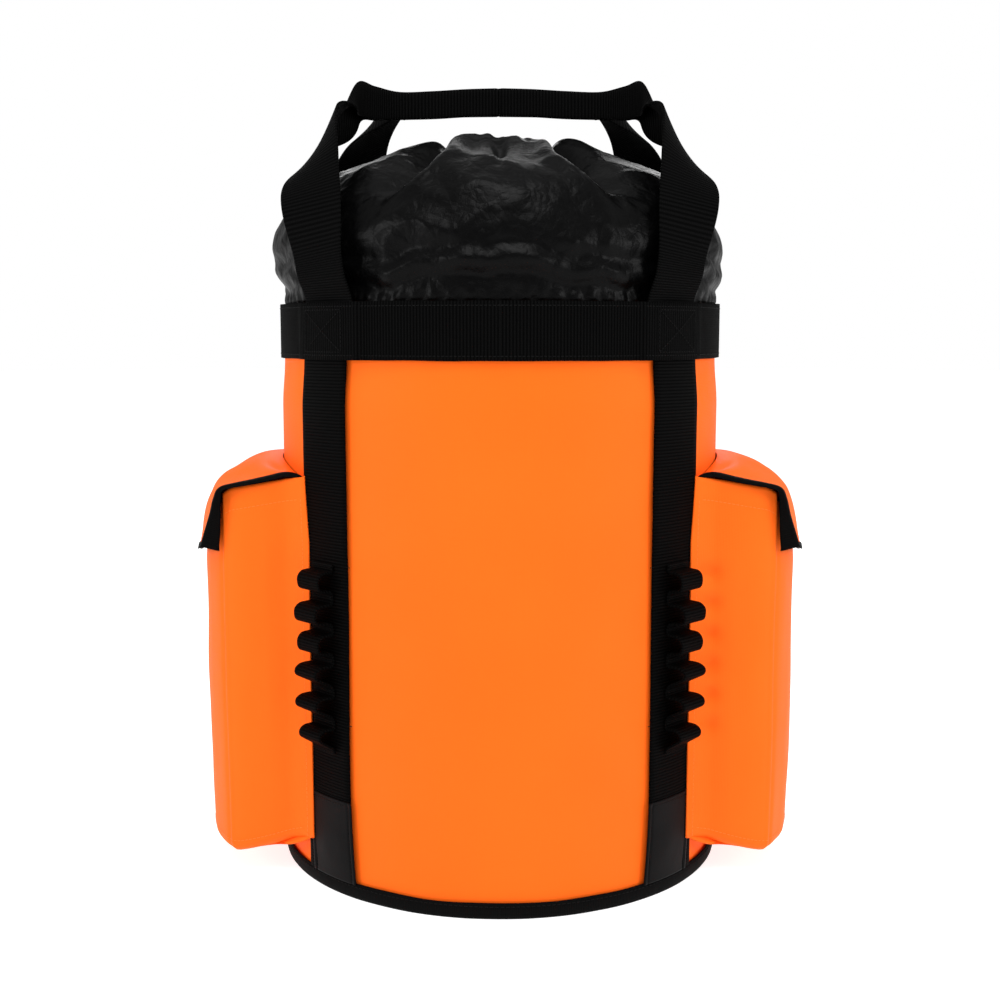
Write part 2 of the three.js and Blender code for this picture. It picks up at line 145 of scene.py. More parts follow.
class Finish:
    """A surface finish: one material with its Principled shader and the nodes that feed it."""

    def __init__(self, name, **fixed):
        self.material = bpy.data.materials.new(name)
        self.material.use_nodes = True
        self.tree = self.material.node_tree
        self.shader = self.tree.nodes["Principled BSDF"]
        for key, value in fixed.items():
            self.shader.inputs[key.replace("_", " ")].default_value = value

    def node(self, kind, output=0, settings=None, inputs=None):
        node = self.tree.nodes.new(kind)
        for key, value in (settings or {}).items():
            setattr(node, key, value)
        for key, item in (inputs or {}).items():
            if isinstance(item, Value):
                self.tree.links.new(item.socket, node.inputs[key])
            else:
                node.inputs[key].default_value = item
        return Value(self.tree, node.outputs[output])

    def feed(self, **sockets):
        for key, item in sockets.items():
            self.tree.links.new(item.socket, self.shader.inputs[key.replace("_", " ")])

    def place(self):
        """The point on the piece, in metres."""
        return self.node("ShaderNodeTexCoord", "Object")

    def noise(self, scale, detail=3.0, rough=0.5):
        inputs = {"Vector": self.place(), "Scale": scale, "Detail": detail, "Roughness": rough}
        return self.node("ShaderNodeTexNoise", 0, None, inputs)

    def woven(self):
        """Distances along and across the cloth, in metres, from the piece's own map."""
        flat = self.node("ShaderNodeUVMap", 0, {"uv_map": "weave"})
        return tuple(self.node("ShaderNodeSeparateXYZ", axis, None, {0: flat}) for axis in ("X", "Y"))

    def wave(self, value, pitch):
        """Even ribs from 0 to 1 along a distance."""
        turn = self.node("ShaderNodeMath", 0, {"operation": "SINE"}, {0: value * (2 * math.pi / pitch)})
        return turn * 0.5 + 0.5

    def tint(self, amount, dark, light):
        """A colour between two, by an amount from 0 to 1."""
        node = self.tree.nodes.new("ShaderNodeMix")
        node.data_type = "RGBA"
        for index, item in ((0, amount), (6, (*dark, 1.0)), (7, (*light, 1.0))):
            if isinstance(item, Value):
                self.tree.links.new(item.socket, node.inputs[index])
            else:
                node.inputs[index].default_value = item
        return Value(self.tree, node.outputs[2])

    def cells(self, scale):
        """Small round cells, as in a weave or a knit, from 0 at their middles."""
        return self.node("ShaderNodeTexVoronoi", 0, None, {"Vector": self.place(), "Scale": scale})

    def relief(self, height, depth):
        """A bump of that depth in metres."""
        inputs = {"Height": height, "Distance": depth, "Strength": 1.0}
        return self.node("ShaderNodeBump", "Normal", None, inputs)


floor_finish = Finish(
    "studio_sweep", Roughness=0.9, Specular_IOR_Level=0.1,
    Emission_Color=(1.0, 1.0, 1.0, 1.0), Emission_Strength=0.82,
)
floor_finish.feed(
    Base_Color=floor_finish.tint(floor_finish.noise(0.6), (0.56, 0.56, 0.56), (0.58, 0.58, 0.58)),
)
sheet = bmesh.new()
bmesh.ops.create_circle(sheet, cap_ends=True, segments=64, radius=14.0)
bmesh.ops.translate(sheet, verts=sheet.verts, vec=(0.0, 0.0, -0.0004))
sweep = finished("studio_floor", sheet, floor_finish.material)

# ---------------------------------------------------------------------------------------------
# The body is one wrap of coated polyester, stitched into a round tube and sewn to its base.
# It stands up by its own stiffness, with slight slack between the straps and under the band.
BODY_R = 170 * MM
BODY_TOP = 425 * MM
ORANGE = (1.0, 0.154, 0.0105)
ORANGE_DEEP = (0.98, 0.128, 0.0072)

orange_cloth = Finish("orange_cloth", Roughness=0.6, Specular_IOR_Level=0.07)
along, across = orange_cloth.woven()
threads = orange_cloth.wave(along, 0.0011) * orange_cloth.wave(across, 0.0011)
slack = orange_cloth.noise(14.0, 2.0, 0.4)
grain = orange_cloth.noise(900.0, 2.0, 0.6)
orange_cloth.feed(
    Base_Color=orange_cloth.tint(slack * 0.55 + threads * 0.2 + grain * 0.2, ORANGE_DEEP, ORANGE),
    Roughness=0.48 + 0.14 * grain,
    Normal=orange_cloth.relief(threads * 0.35 + slack * 6.0 + grain * 0.2, 0.00022),
)


def walled(piece, wall, offset, inside=0):
    """Gives cloth its thickness: inwards at offset -1, outwards at 1, or both ways at 0."""
    thick = piece.modifiers.new("wall", "SOLIDIFY")
    thick.thickness = wall
    thick.offset = offset
    thick.use_even_offset = False
    thick.material_offset = inside
    thick.material_offset_rim = inside


def cloth_grid(name, cells, size, place, material, wall=0.0, offset=-1.0, inside=0, shown_from=None):
    """A sheet of cloth: a flat grid whose points are carried to their places on the bag.

    size is the cloth's length and width in metres, for its weave. shown_from is a point that
    the outer side faces away from."""
    bm = bmesh.new()
    bmesh.ops.create_grid(bm, x_segments=cells[0], y_segments=cells[1], size=0.5)
    weave = bm.loops.layers.uv.new("weave")
    for face in bm.faces:
        for loop in face.loops:
            loop[weave].uv = ((loop.vert.co.x + 0.5) * size[0], (loop.vert.co.y + 0.5) * size[1])
    for vert in bm.verts:
        vert.co = place(min(max(vert.co.x + 0.5, 0.0), 1.0), min(max(vert.co.y + 0.5, 0.0), 1.0))
    bmesh.ops.remove_doubles(bm, verts=bm.verts, dist=1e-5)
    bmesh.ops.recalc_face_normals(bm, faces=bm.faces)
    if shown_from is not None:
        facing = sum(face.normal.dot(face.calc_center_median() - Vector(shown_from)) for face in bm.faces)
        if facing < 0:
            bmesh.ops.reverse_faces(bm, faces=bm.faces)
    piece = finished(name, bm, material)
    if wall:
        walled(piece, wall, offset, inside)
    return piece


def held(piece, body, slot, *nodes):
    """The piece moves with a body and stands for its plain solids."""
    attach(piece, body)
    if nodes:
        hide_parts(*nodes)
    return piece


def coated(node, material):
    """A plain solid that is carried over as it is takes a finish."""
    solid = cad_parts[node]
    solid.data.materials.clear()
    solid.data.materials.append(material)


def swirl(x, y, z, seed=0.0):
    """Smooth noise from -1 to 1 that is the same on every run."""
    return noise.noise(Vector((x + seed * 7.3, y - seed * 3.1, z + seed)))


def bell(distance, width):
    """A smooth rise to 1 at distance 0."""
    return math.exp(-(distance / width) ** 2)


def around(degrees, radius, height):
    """A point by its angle from the front, its distance from the middle and its height."""
    turn = math.radians(degrees)
    return Vector((radius * math.sin(turn), -radius * math.cos(turn), height))


def body_radius(height):
    """The body is drawn in slightly where the band holds it."""
    t = min(1.0, max(0.0, (height - 350 * MM) / (38 * MM)))
    return BODY_R - 2.3 * MM * t * t * (3 - 2 * t)


def body_place(u, v):
    degrees = 360.0 * u + 180.0
    height = 2.4 * MM + v * (BODY_TOP - 2.4 * MM)
    turn = math.radians(degrees)
    slackness = math.sin(math.pi * v) ** 0.6
    sag = 0.9 * MM * swirl(3.0 * math.sin(turn), 3.0 * math.cos(turn), 7.0 * height, 1.0)
    pull = 0.5 * MM * math.exp(-((BODY_TOP - 42 * MM - height) / (16 * MM)) ** 2)
    pull *= swirl(9.0 * math.sin(turn), 9.0 * math.cos(turn), 2.0, 2.0)
    return around(degrees, body_radius(height) - 0.6 * MM + (sag - 0.6 * MM) * slackness + pull, height)


body = cloth_grid(
    "body_fabric", (240, 90), (2 * math.pi * BODY_R, BODY_TOP), body_place,
    orange_cloth.material, wall=1.2 * MM, shown_from=(0, 0, 0.2),
)
held(body, "bag", "body_fabric", "body_shell")

# ---------------------------------------------------------------------------------------------
# The base is a round panel of heavy coated cloth over a plastic stiffener. A folded tape binds
# the edge where the base and the body are sewn together, with one row of stitches.
BIND_TOP = 12 * MM
BASE_R = 172.4 * MM

heavy_cloth = Finish("heavy_black_cloth", Roughness=0.6, Specular_IOR_Level=0.05)
threads = heavy_cloth.cells(900.0)
heavy_cloth.feed(
    Base_Color=heavy_cloth.tint(threads, (0.0012, 0.0012, 0.0012), (0.0035, 0.0035, 0.0035)),
    Roughness=0.5 + 0.2 * threads,
    Normal=heavy_cloth.relief(threads + 3.0 * heavy_cloth.noise(40.0), 0.00015),
)
board_finish = Finish("stiffener_sheet", Roughness=0.5)
board_finish.feed(
    Base_Color=board_finish.tint(board_finish.noise(30.0), (0.018, 0.018, 0.02), (0.028, 0.028, 0.03)),
    Normal=board_finish.relief(board_finish.noise(200.0), 0.0001),
)
coated("base_panel", heavy_cloth.material)
coated("base_board", board_finish.material)

tape_finish = Finish("binding_tape", Roughness=0.7, Specular_IOR_Level=0.04)
cross = tape_finish.wave(tape_finish.woven()[0], 0.0013)
tape_finish.feed(
    Base_Color=tape_finish.tint(cross, (0.0008, 0.0008, 0.0008), (0.0028, 0.0028, 0.0028)),
    Roughness=0.62 + 0.15 * cross,
    Normal=tape_finish.relief(cross + 2.0 * tape_finish.noise(120.0), 0.00012),
)


def binding_place(u, v):
    degrees = 360.0 * u
    turn = math.radians(degrees)
    loose = swirl(4.0 * math.sin(turn), 4.0 * math.cos(turn), 0.3, 4.0)
    top = BIND_TOP + 0.9 * MM * loose
    bulge = math.sin(math.pi * v)
    if v <= 0.75:
        share = v / 0.75
        low = 0.4 * MM * max(0.0, loose)
        height = low + (top - low) * share
        radius = BODY_R + (1.0 + 1.5 * math.sin(math.pi * min(share, 1.0)) ** 0.5) * MM
    else:
        share = (v - 0.75) / 0.25
        height = top - 3.0 * MM * share
        radius = BODY_R + 1.0 * MM - 1.2 * MM * share
    return around(degrees, radius + 0.25 * MM * loose * bulge, height)


binding = cloth_grid(
    "base_binding_tape", (220, 14), (2 * math.pi * BASE_R, 18 * MM), binding_place,
    tape_finish.material, wall=0.8 * MM, shown_from=(0, 0, 0.006),
)
held(binding, "bag", "binding_tape", "base_binding")

thread_finish = Finish("black_thread", Roughness=0.6, Specular_IOR_Level=0.06)
thread_finish.feed(
    Base_Color=thread_finish.tint(thread_finish.noise(2000.0), (0.002, 0.002, 0.002), (0.007, 0.007, 0.007)),
)
orange_thread = Finish("orange_thread", Roughness=0.5, Specular_IOR_Level=0.2)
orange_thread.feed(
    Base_Color=orange_thread.tint(orange_thread.noise(2000.0), (0.9, 0.15, 0.012), (1.0, 0.25, 0.04)),
)


def sewn(name, lines, body_name, slot, material, pitch=3.6 * MM, size=0.55 * MM):
    """Rows of stitches: short threads laid along lines of (point, outward direction)."""
    bm = bmesh.new()
    for line in lines:
        run = 0.0
        due = pitch * 0.5
        for (here, out), (there, _) in zip(line, line[1:]):
            step = (there - here).length
            while step > 1e-9 and due <= run + step:
                share = (due - run) / step
                forward = (there - here).normalized()
                side = out.cross(forward).normalized()
                up = forward.cross(side)
                frame_of = Matrix((forward, side, up)).transposed().to_4x4()
                spot = here.lerp(there, share) + up * 0.1 * MM
                made = bmesh.ops.create_cube(bm, size=1.0)
                bmesh.ops.scale(bm, verts=made["verts"], vec=(pitch * 0.72, size, size * 0.8))
                bmesh.ops.transform(bm, verts=made["verts"], matrix=Matrix.Translation(spot) @ frame_of)
                due += pitch
            run += step
    stitches = finished(name, bm, material)
    edge = stitches.modifiers.new("round", "BEVEL")
    edge.width = size * 0.35
    edge.segments = 1
    return held(stitches, body_name, slot)


def ring_line(radius, height, low=0.0, high=360.0, steps=120):
    """A level line round the bag, with its outward direction."""
    angles = [low + (high - low) * i / steps for i in range(steps + 1)]
    return [(around(a, radius, height), around(a, 1.0, 0.0)) for a in angles]


def stitched_line(first, last, steps, surface):
    """A straight line of thread between two (angle, height) points on a surface of the bag."""
    line = []
    for i in range(steps + 1):
        degrees = first[0] + (last[0] - first[0]) * i / steps
        height = first[1] + (last[1] - first[1]) * i / steps
        line.append((around(degrees, surface(degrees), height), around(degrees, 1.0, 0.0)))
    return line


def stitched_box(middle, wide, low, high, steps, surface):
    """A box of thread with one diagonal."""
    corners = [(-wide, low), (wide, low), (wide, high), (-wide, high), (-wide, low), (wide, high)]
    corners = [(middle + across, height) for across, height in corners]
    return [stitched_line(first, last, steps, surface) for first, last in zip(corners, corners[1:])]


rim_row = ring_line(BODY_R + 2.55 * MM, 9.6 * MM)
sewn("base_binding_stitches", [rim_row], "bag", "binding_tape", thread_finish.material)

# ---------------------------------------------------------------------------------------------
# Four load straps of 50 mm nylon webbing run up the body from the base, two at the front and
# two at the back. They pass under the top band and become the haul handles.
WEB = 1.6 * MM
STRAP_W = 50 * MM
RIB = 2.3 * MM

webbing = Finish("black_webbing", Roughness=0.6, Specular_IOR_Level=0.018)
along, across = webbing.woven()
rib = webbing.wave(along, RIB)
pick = webbing.wave(across, 0.0016)
fuzz = webbing.noise(1500.0, 2.0, 0.6)
height = rib ** 0.7 * (0.75 + 0.25 * pick) + 0.15 * fuzz
webbing.feed(
    Base_Color=webbing.tint(height ** 1.5, (0.0002, 0.0002, 0.0002), (0.0030, 0.0030, 0.0030)),
    Roughness=0.55 + 0.2 * fuzz,
    Normal=webbing.relief(height, 0.00045),
)


def tape(name, stations, width, cuts):
    """Webbing through stations: a centre, the direction across it, and how far it is folded
    along its middle, from 0 flat to 1 double, with the direction that the halves fold to."""
    total = sum((after[0] - before[0]).length for before, after in zip(stations, stations[1:]))
    count = len(stations) - 1

    def place(u, v):
        here = stations[min(int(round(u * count)), count)]
        centre, side = here[0], here[1].normalized()
        t = (v - 0.5) * width
        if len(here) < 3 or here[2] <= 0.0:
            return centre + side * t
        turn = here[2] * math.pi / 2
        down = here[3]
        sign = 1.0 if t > 0 else -1.0 if t < 0 else 0.0
        apart = side * sign * here[2] * (0.9 * MM)
        return centre + side * t * math.cos(turn) + down * abs(t) * math.sin(turn) + apart

    piece = cloth_grid(name, (count, cuts), (total, width), place, webbing.material, wall=WEB, offset=0.0)
    edge = piece.modifiers.new("selvage", "BEVEL")
    edge.width = 0.35 * WEB
    edge.segments = 2
    edge.limit_method = "ANGLE"
    edge.angle_limit = math.radians(50)
    return piece


def spline(a, b, c, d, t):
    """A Catmull-Rom curve's point between b and c."""
    bend = (a * 2 - b * 5 + c * 4 - d) * t * t + (b * 3 - a - c * 3 + d) * t * t * t
    return 0.5 * (b * 2 + (c - a) * t + bend)


def smooth_path(points, steps):
    """A smooth line of vectors through points."""
    line = []
    ends = [points[0] * 2 - points[1]] + list(points) + [points[-1] * 2 - points[-2]]
    for knots in zip(ends, ends[1:], ends[2:], ends[3:]):
        line += [spline(*knots, i / steps) for i in range(steps)]
    line.append(points[-1].copy())
    return line


def on_profile(profile, share):
    """A point on the smooth line through a profile's pairs, by share of its spans."""
    last = len(profile) - 1
    low = min(int(share * last), last - 1)
    knots = (Vector(profile[min(max(low + k, 0), last)]) for k in (-1, 0, 1, 2))
    return spline(*knots, share * last - low)


def strap_angle(height, back):
    """The front straps stand this far round from the front, and the rear ones from the back."""
    lean = 46.6 + 0.2 * (height / BODY_TOP)
    return 180.0 - lean if back else lean


STRAP_R = BODY_R + 1.15 * MM
STRAP_LAY = 1.15 * MM
for end, back in (("front", False), ("rear", True)):
    for side, sign in (("left", -1), ("right", 1)):
        count = 96
        stations = []
        for i in range(count + 1):
            height = (11.5 + 393.0 * i / count) * MM
            sway = 0.25 * swirl(height * 9.0, sign, 2.0 * back, 5.0)
            middle = sign * (strap_angle(height, back) + sway)
            ripple = 0.25 * MM * swirl(height * 30.0, sign, back, 6.0)
            stations.append((middle, body_radius(height) + STRAP_LAY + ripple, height))
        half = 8.15

        def strap_place(u, v, stations=stations, half=half):
            middle, radius, height = stations[min(int(round(u * 96)), 96)]
            return around(middle + (v - 0.5) * 2 * half, radius, height)

        strap = cloth_grid(
            f"load_strap_{end}_{side}", (96, 10), (393 * MM, STRAP_W), strap_place,
            webbing.material, wall=WEB, offset=1.0, shown_from=(0, 0, 0.2),
        )
        held(strap, "bag", "webbing", f"strap_{end}_{side}")

# ---------------------------------------------------------------------------------------------
# The top band is 40 mm webbing round the head of the body, over the straps. A box and cross of
# thread joins it to each strap, and a row of stitches follows each of its edges.
BAND_LOW = 386.4 * MM
BAND_TOP = 426.4 * MM
BAND_R = BODY_R - 0.4 * MM


def band_radius(degrees):
    """The band lies on the body and rises over each strap."""
    lift = 0.0
    for middle in (45.6, 134.4, 225.6, 314.4):
        off = abs((degrees - middle + 180) % 360 - 180)
        lift = max(lift, min(1.0, max(0.0, (13.0 - off) / 3.0)))
    return BODY_R + (-1.9 + 2.6 * lift * lift * (3 - 2 * lift)) * MM


def band_place(u, v):
    degrees = 360.0 * u
    height = BAND_LOW + v * (BAND_TOP - BAND_LOW)
    turn = math.radians(degrees)
    ripple = 0.35 * MM * swirl(5.0 * math.sin(turn), 5.0 * math.cos(turn), 3.0, 8.0)
    return around(degrees, band_radius(degrees), height + ripple)


band = cloth_grid(
    "top_band_webbing", (360, 10), (2 * math.pi * BAND_R, 40 * MM), band_place,
    webbing.material, wall=WEB, offset=1.0, shown_from=(0, 0, 0.4),
)
held(band, "bag", "webbing", "top_band")

def band_face(degrees):
    return band_radius(degrees) + WEB


BOX_WIDE = 6.9
box_low, box_high = BAND_LOW + 5.5 * MM, BAND_TOP - 5.5 * MM
rows = [
    stitched_line((0.0, height), (360.0, height), 120, band_face)
    for height in (BAND_LOW + 3.2 * MM, BAND_TOP - 3.2 * MM)
]
for middle in (46.4, 133.6, 226.4, 313.6):
    rows += stitched_box(middle, BOX_WIDE, box_low, box_high, 12, band_face)
    rows.append(stitched_line((middle - BOX_WIDE, box_high), (middle + BOX_WIDE, box_low), 12, band_face))
sewn("top_band_stitches", rows, "bag", "webbing", thread_finish.material, pitch=2.9 * MM, size=0.6 * MM)

# ---------------------------------------------------------------------------------------------
# Each strap's foot is capped by a patch of smooth coated cloth against wear. Its top and sides
# are turned under and stitched, and its foot runs into the base binding.
PATCH_LOW = 11.0 * MM
PATCH_TOP = 71.0 * MM
PATCH_HALF = 7.9


def patch_angle(height, sign, back):
    """A patch narrows and turns in towards its foot, with its inner edge along the strap's."""
    lean = 45.9 - 1.3 * (1 - (height - PATCH_LOW) / (PATCH_TOP - PATCH_LOW)) ** 1.5
    return sign * (180.0 - lean if back else lean)


patch_finish = Finish("smooth_coated_patch", Roughness=0.38, Specular_IOR_Level=0.045)
pores = patch_finish.cells(1300.0)
scuff = patch_finish.noise(35.0, 5.0, 0.7)
patch_finish.feed(
    Base_Color=patch_finish.tint(scuff, (0.0012, 0.0012, 0.0013), (0.0036, 0.0036, 0.0038)),
    Roughness=0.30 + 0.22 * scuff,
    Normal=patch_finish.relief(pores * 0.5 + scuff * 2.0, 0.00012),
)
rows = []
for end, back in (("front", False), ("rear", True)):
    for side, sign in (("left", -1), ("right", 1)):

        def patch_place(u, v, sign=sign, back=back):
            height = PATCH_LOW + (PATCH_TOP - PATCH_LOW) * u
            middle = patch_angle(height, sign, back)
            inset = min(v, 1 - v) * 2 * PATCH_HALF
            lip = 0.5 * MM * math.exp(-((inset - 0.5) / 0.4) ** 2)
            lip -= 0.35 * MM * math.exp(-((inset - 1.2) / 0.3) ** 2)
            end_lip = (1 - u) * (PATCH_TOP - PATCH_LOW)
            lip += 0.45 * MM * math.exp(-((end_lip - 1.0 * MM) / (1.2 * MM)) ** 2)
            pillow = 0.7 * MM * math.sin(math.pi * v) * math.sin(math.pi * min(1, u * 1.2)) ** 2
            radius = BODY_R + 3.0 * MM + lip + pillow * (1 + 0.4 * swirl(height * 60, v * 3, sign, 9))
            return around(middle + (v - 0.5) * 2 * PATCH_HALF, radius, height)

        patch = cloth_grid(
            f"foot_patch_cover_{end}_{side}", (56, 60), (PATCH_TOP - PATCH_LOW, 53 * MM), patch_place,
            patch_finish.material, wall=0.9 * MM, shown_from=(0, 0, 0.03),
        )
        held(patch, "bag", "foot_patch", f"foot_patch_{end}_{side}")
        for edge in (-PATCH_HALF + 1.25, PATCH_HALF - 1.25):
            line = []
            for i in range(25):
                height = PATCH_LOW + 2 * MM + (PATCH_TOP - PATCH_LOW - 5 * MM) * i / 24
                degrees = patch_angle(height, sign, back) + edge
                line.append((around(degrees, BODY_R + 3.0 * MM, height), around(degrees, 1.0, 0.0)))
            rows.append(line)
        height = PATCH_TOP - 3.2 * MM
        middle = patch_angle(height, sign, back)
        rows.append(ring_line(BODY_R + 3.6 * MM, height, middle - 6.4, middle + 6.4, 12))
sewn("foot_patch_stitches", rows, "bag", "foot_patch", thread_finish.material, pitch=2.6 * MM, size=0.5 * MM)

# ---------------------------------------------------------------------------------------------
# Gear loops: one length of 25 mm webbing on each front strap, stood up into six loops between
# bar tacks. The upper three stay round and the lower three droop to a point.
LOOP_W = 25 * MM
LOOP_TOP = 230 * MM
LOOP_PITCH = 22.7 * MM
LOOP_BASE = BODY_R + 3.7 * MM
# How far the webbing stands out, and its height from the loop's middle, down each loop.
ROUND_LOOP = (
    (0.8, 7.4), (5.5, 6.9), (11.5, 6.4), (15.2, 3.4), (15.8, -0.6), (14.2, -4.4), (8.5, -6.2), (2.0, -6.8),
)
WORN_LOOP = (
    (0.8, 7.2), (6.0, 7.2), (12.0, 6.8), (16.2, 4.4), (16.2, 0.8), (11.5, -2.2), (6.5, -4.8), (2.0, -7.4),
)

rows = []
for side, sign in (("left", -1), ("right", 1)):
    middle = sign * strap_angle(0.2, False)
    out = around(middle, 1.0, 0.0)
    aside = around(middle + 90.0 * sign, 1.0, 0.0)
    profile = [Vector((0.2, LOOP_TOP / MM + 12.5, 0))]
    for loop in range(6):
        shape = ROUND_LOOP if loop < 3 else WORN_LOOP
        grown = (0.80, 1.0, 0.86, 0.98, 0.97, 0.80)[loop]
        centre = (LOOP_TOP - LOOP_PITCH * loop) / MM + (0.0, -0.5, 0.4, 0.3, 0.2, -0.2)[loop]
        for depth, level in shape:
            profile.append(Vector((depth * grown + 0.2, centre + level, 0)))
        profile.append(Vector((0.2, centre - 11.2, 0)))
    stations = []
    for point in smooth_path(profile, 4):
        sway = 0.5 * MM * swirl(point.y * 0.2, sign, 1.0, 31.0) * min(1.0, point.x / 8)
        lift = max(point.x, 0.0) * MM
        stations.append((out * (LOOP_BASE + lift) + aside * sway + Vector((0, 0, point.y * MM)), aside))
    loops = tape(f"gear_loop_webbing_{side}", stations, LOOP_W, cuts=6)
    held(loops, "bag", "webbing", f"gear_loops_{side}")
    for tack in range(-1, 6):
        height = LOOP_TOP - LOOP_PITCH * (tack + 0.5)
        for lower in (-0.6 * MM, 0.6 * MM):
            line = []
            for i in range(9):
                shift = aside * (LOOP_W * 0.44 * (i / 4 - 1))
                line.append((out * (LOOP_BASE + 0.95 * MM) + shift + Vector((0, 0, height + lower)), out))
            rows.append(line)
    # The ends of the bar tacks' thread stand out at the strap's inner edge.
    for height in (242.0 * MM, 128.0 * MM):
        inner = sign * (strap_angle(height, False) - 8.1)
        out_here = around(inner, 1.0, 0.0)
        rows.append([(around(inner - sign * a, STRAP_R + WEB, height), out_here) for a in (0, 0.6, 1.2)])
sewn("gear_loop_bar_tacks", rows, "bag", "webbing", thread_finish.material, pitch=1.3 * MM, size=0.7 * MM)

# ---------------------------------------------------------------------------------------------
# A side pocket is a bag of the body's cloth, sewn flat to the body along both its edges. Its
# front, outer and rear panels meet at soft seams, and its bottom is one panel turned under.
POCKET_LOW = 16.0 * MM
POCKET_SEWN = 34.0 * MM
POCKET_TOP = 303.0 * MM
POCKET_PLAN = (
    (140.6, -101.6), (146.0, -97.4), (156.0, -94.6), (173.0, -93.2), (190.0, -91.0), (200.0, -88.0),
    (206.6, -82.0), (213.6, -70.0), (220.4, -56.0), (225.4, -38.0), (228.8, -18.0), (230.0, 0.0),
)


def pocket_outline():
    half = [Vector((x, y, 0.0)) * MM for x, y in POCKET_PLAN]
    other = [Vector((p.x, -p.y, 0.0)) for p in reversed(half[:-1])]
    line = smooth_path(half + other, 12)
    lengths = [0.0]
    for before, after in zip(line, line[1:]):
        lengths.append(lengths[-1] + (after - before).length)
    return line, lengths


pocket_line, pocket_lengths = pocket_outline()
POCKET_GIRTH = pocket_lengths[-1]
CORNER = 0.205


def to_side(point, sign):
    """A point laid out on the right of the bag, turned to the left for sign -1."""
    return Vector((point.x * sign, point.y * sign, point.z))


def on_outline(share):
    """A point of the pocket's plan and its outward direction, by share of its girth."""
    target = min(max(share, 0.0), 1.0) * POCKET_GIRTH
    low = 0
    while low < len(pocket_lengths) - 2 and pocket_lengths[low + 1] < target:
        low += 1
    part = (target - pocket_lengths[low]) / (pocket_lengths[low + 1] - pocket_lengths[low])
    spot = pocket_line[low].lerp(pocket_line[low + 1], part)
    run = (pocket_line[low + 1] - pocket_line[low]).normalized()
    return spot, Vector((run.y, -run.x, 0.0))


def pocket_rim(share):
    """The rim is high under the flap's ends and lower where the flap hangs over it."""
    edge = min(share, 1 - share)
    fall = min(1.0, max(0.0, (edge - CORNER + 0.03) / 0.10))
    return POCKET_TOP - 11.5 * MM * min(1.0, edge / CORNER) - 12.5 * MM * fall * fall * (3 - 2 * fall)


def pocket_hem(share):
    """The lower edge: sewn to the body high up at its ends, and hanging lower further out."""
    edge = min(share, 1 - share)
    rise = max(0.0, 1 - edge / (CORNER * 0.95))
    return POCKET_LOW + (POCKET_SEWN - POCKET_LOW) * rise ** 1.25


def pocket_wall(share, height, sign):
    """A point on the pocket's wall, with its fullness, sag and soft dents."""
    spot, out = on_outline(share)
    edge = min(share, 1 - share)
    # The sewn edges lap over the straps, further towards the bottom.
    lap = 52.4 + 1.8 * min(1.0, max(0.0, (height - 255 * MM) / (43 * MM)))
    if edge < 0.06:
        sewn_edge = around(lap if share < 0.5 else 180 - lap, 174.4 * MM, 0.0)
        pull = (1 - edge / 0.06) ** 2
        spot = spot.lerp(sewn_edge, pull)
    level = min(max((height - POCKET_LOW) / (POCKET_TOP - POCKET_LOW), 0.0), 1.0)
    free = min(1.0, edge / 0.10)
    outer = min(1.0, max(0.0, (edge - CORNER) / 0.05))
    full = math.sin(math.pi * level) ** 0.7
    swell = 1.4 * MM * full * free * (1 - bell(edge - CORNER, 0.04))
    dents = 1.6 * MM * swirl(share * 4.0, height * 8.0, sign * 2.0, 11.0) * free * full
    fine = 0.45 * MM * swirl(share * 15.0, height * 24.0, sign * 2.0, 12.0) * free
    seam = 0.9 * MM * bell(edge - CORNER, 0.006) - 0.8 * MM * bell(edge - CORNER - 0.013, 0.007)
    narrow = 1.0 * MM * (1 - level) ** 1.8 * min(1.0, edge / CORNER)
    lean = 6.5 * MM * max(0.0, (height - 232 * MM) / (50 * MM)) ** 1.4 * outer
    tack = 0.0
    if share < 0.12:
        for loop in range(6):
            tack += bell(height - (LOOP_TOP - LOOP_PITCH * loop), 6.5 * MM)
        tack *= 3.6 * MM * bell(share - 0.045, 0.024)
    move = swell + dents + fine + seam - narrow - lean - tack
    return spot + out * move + Vector((0, 0, height))


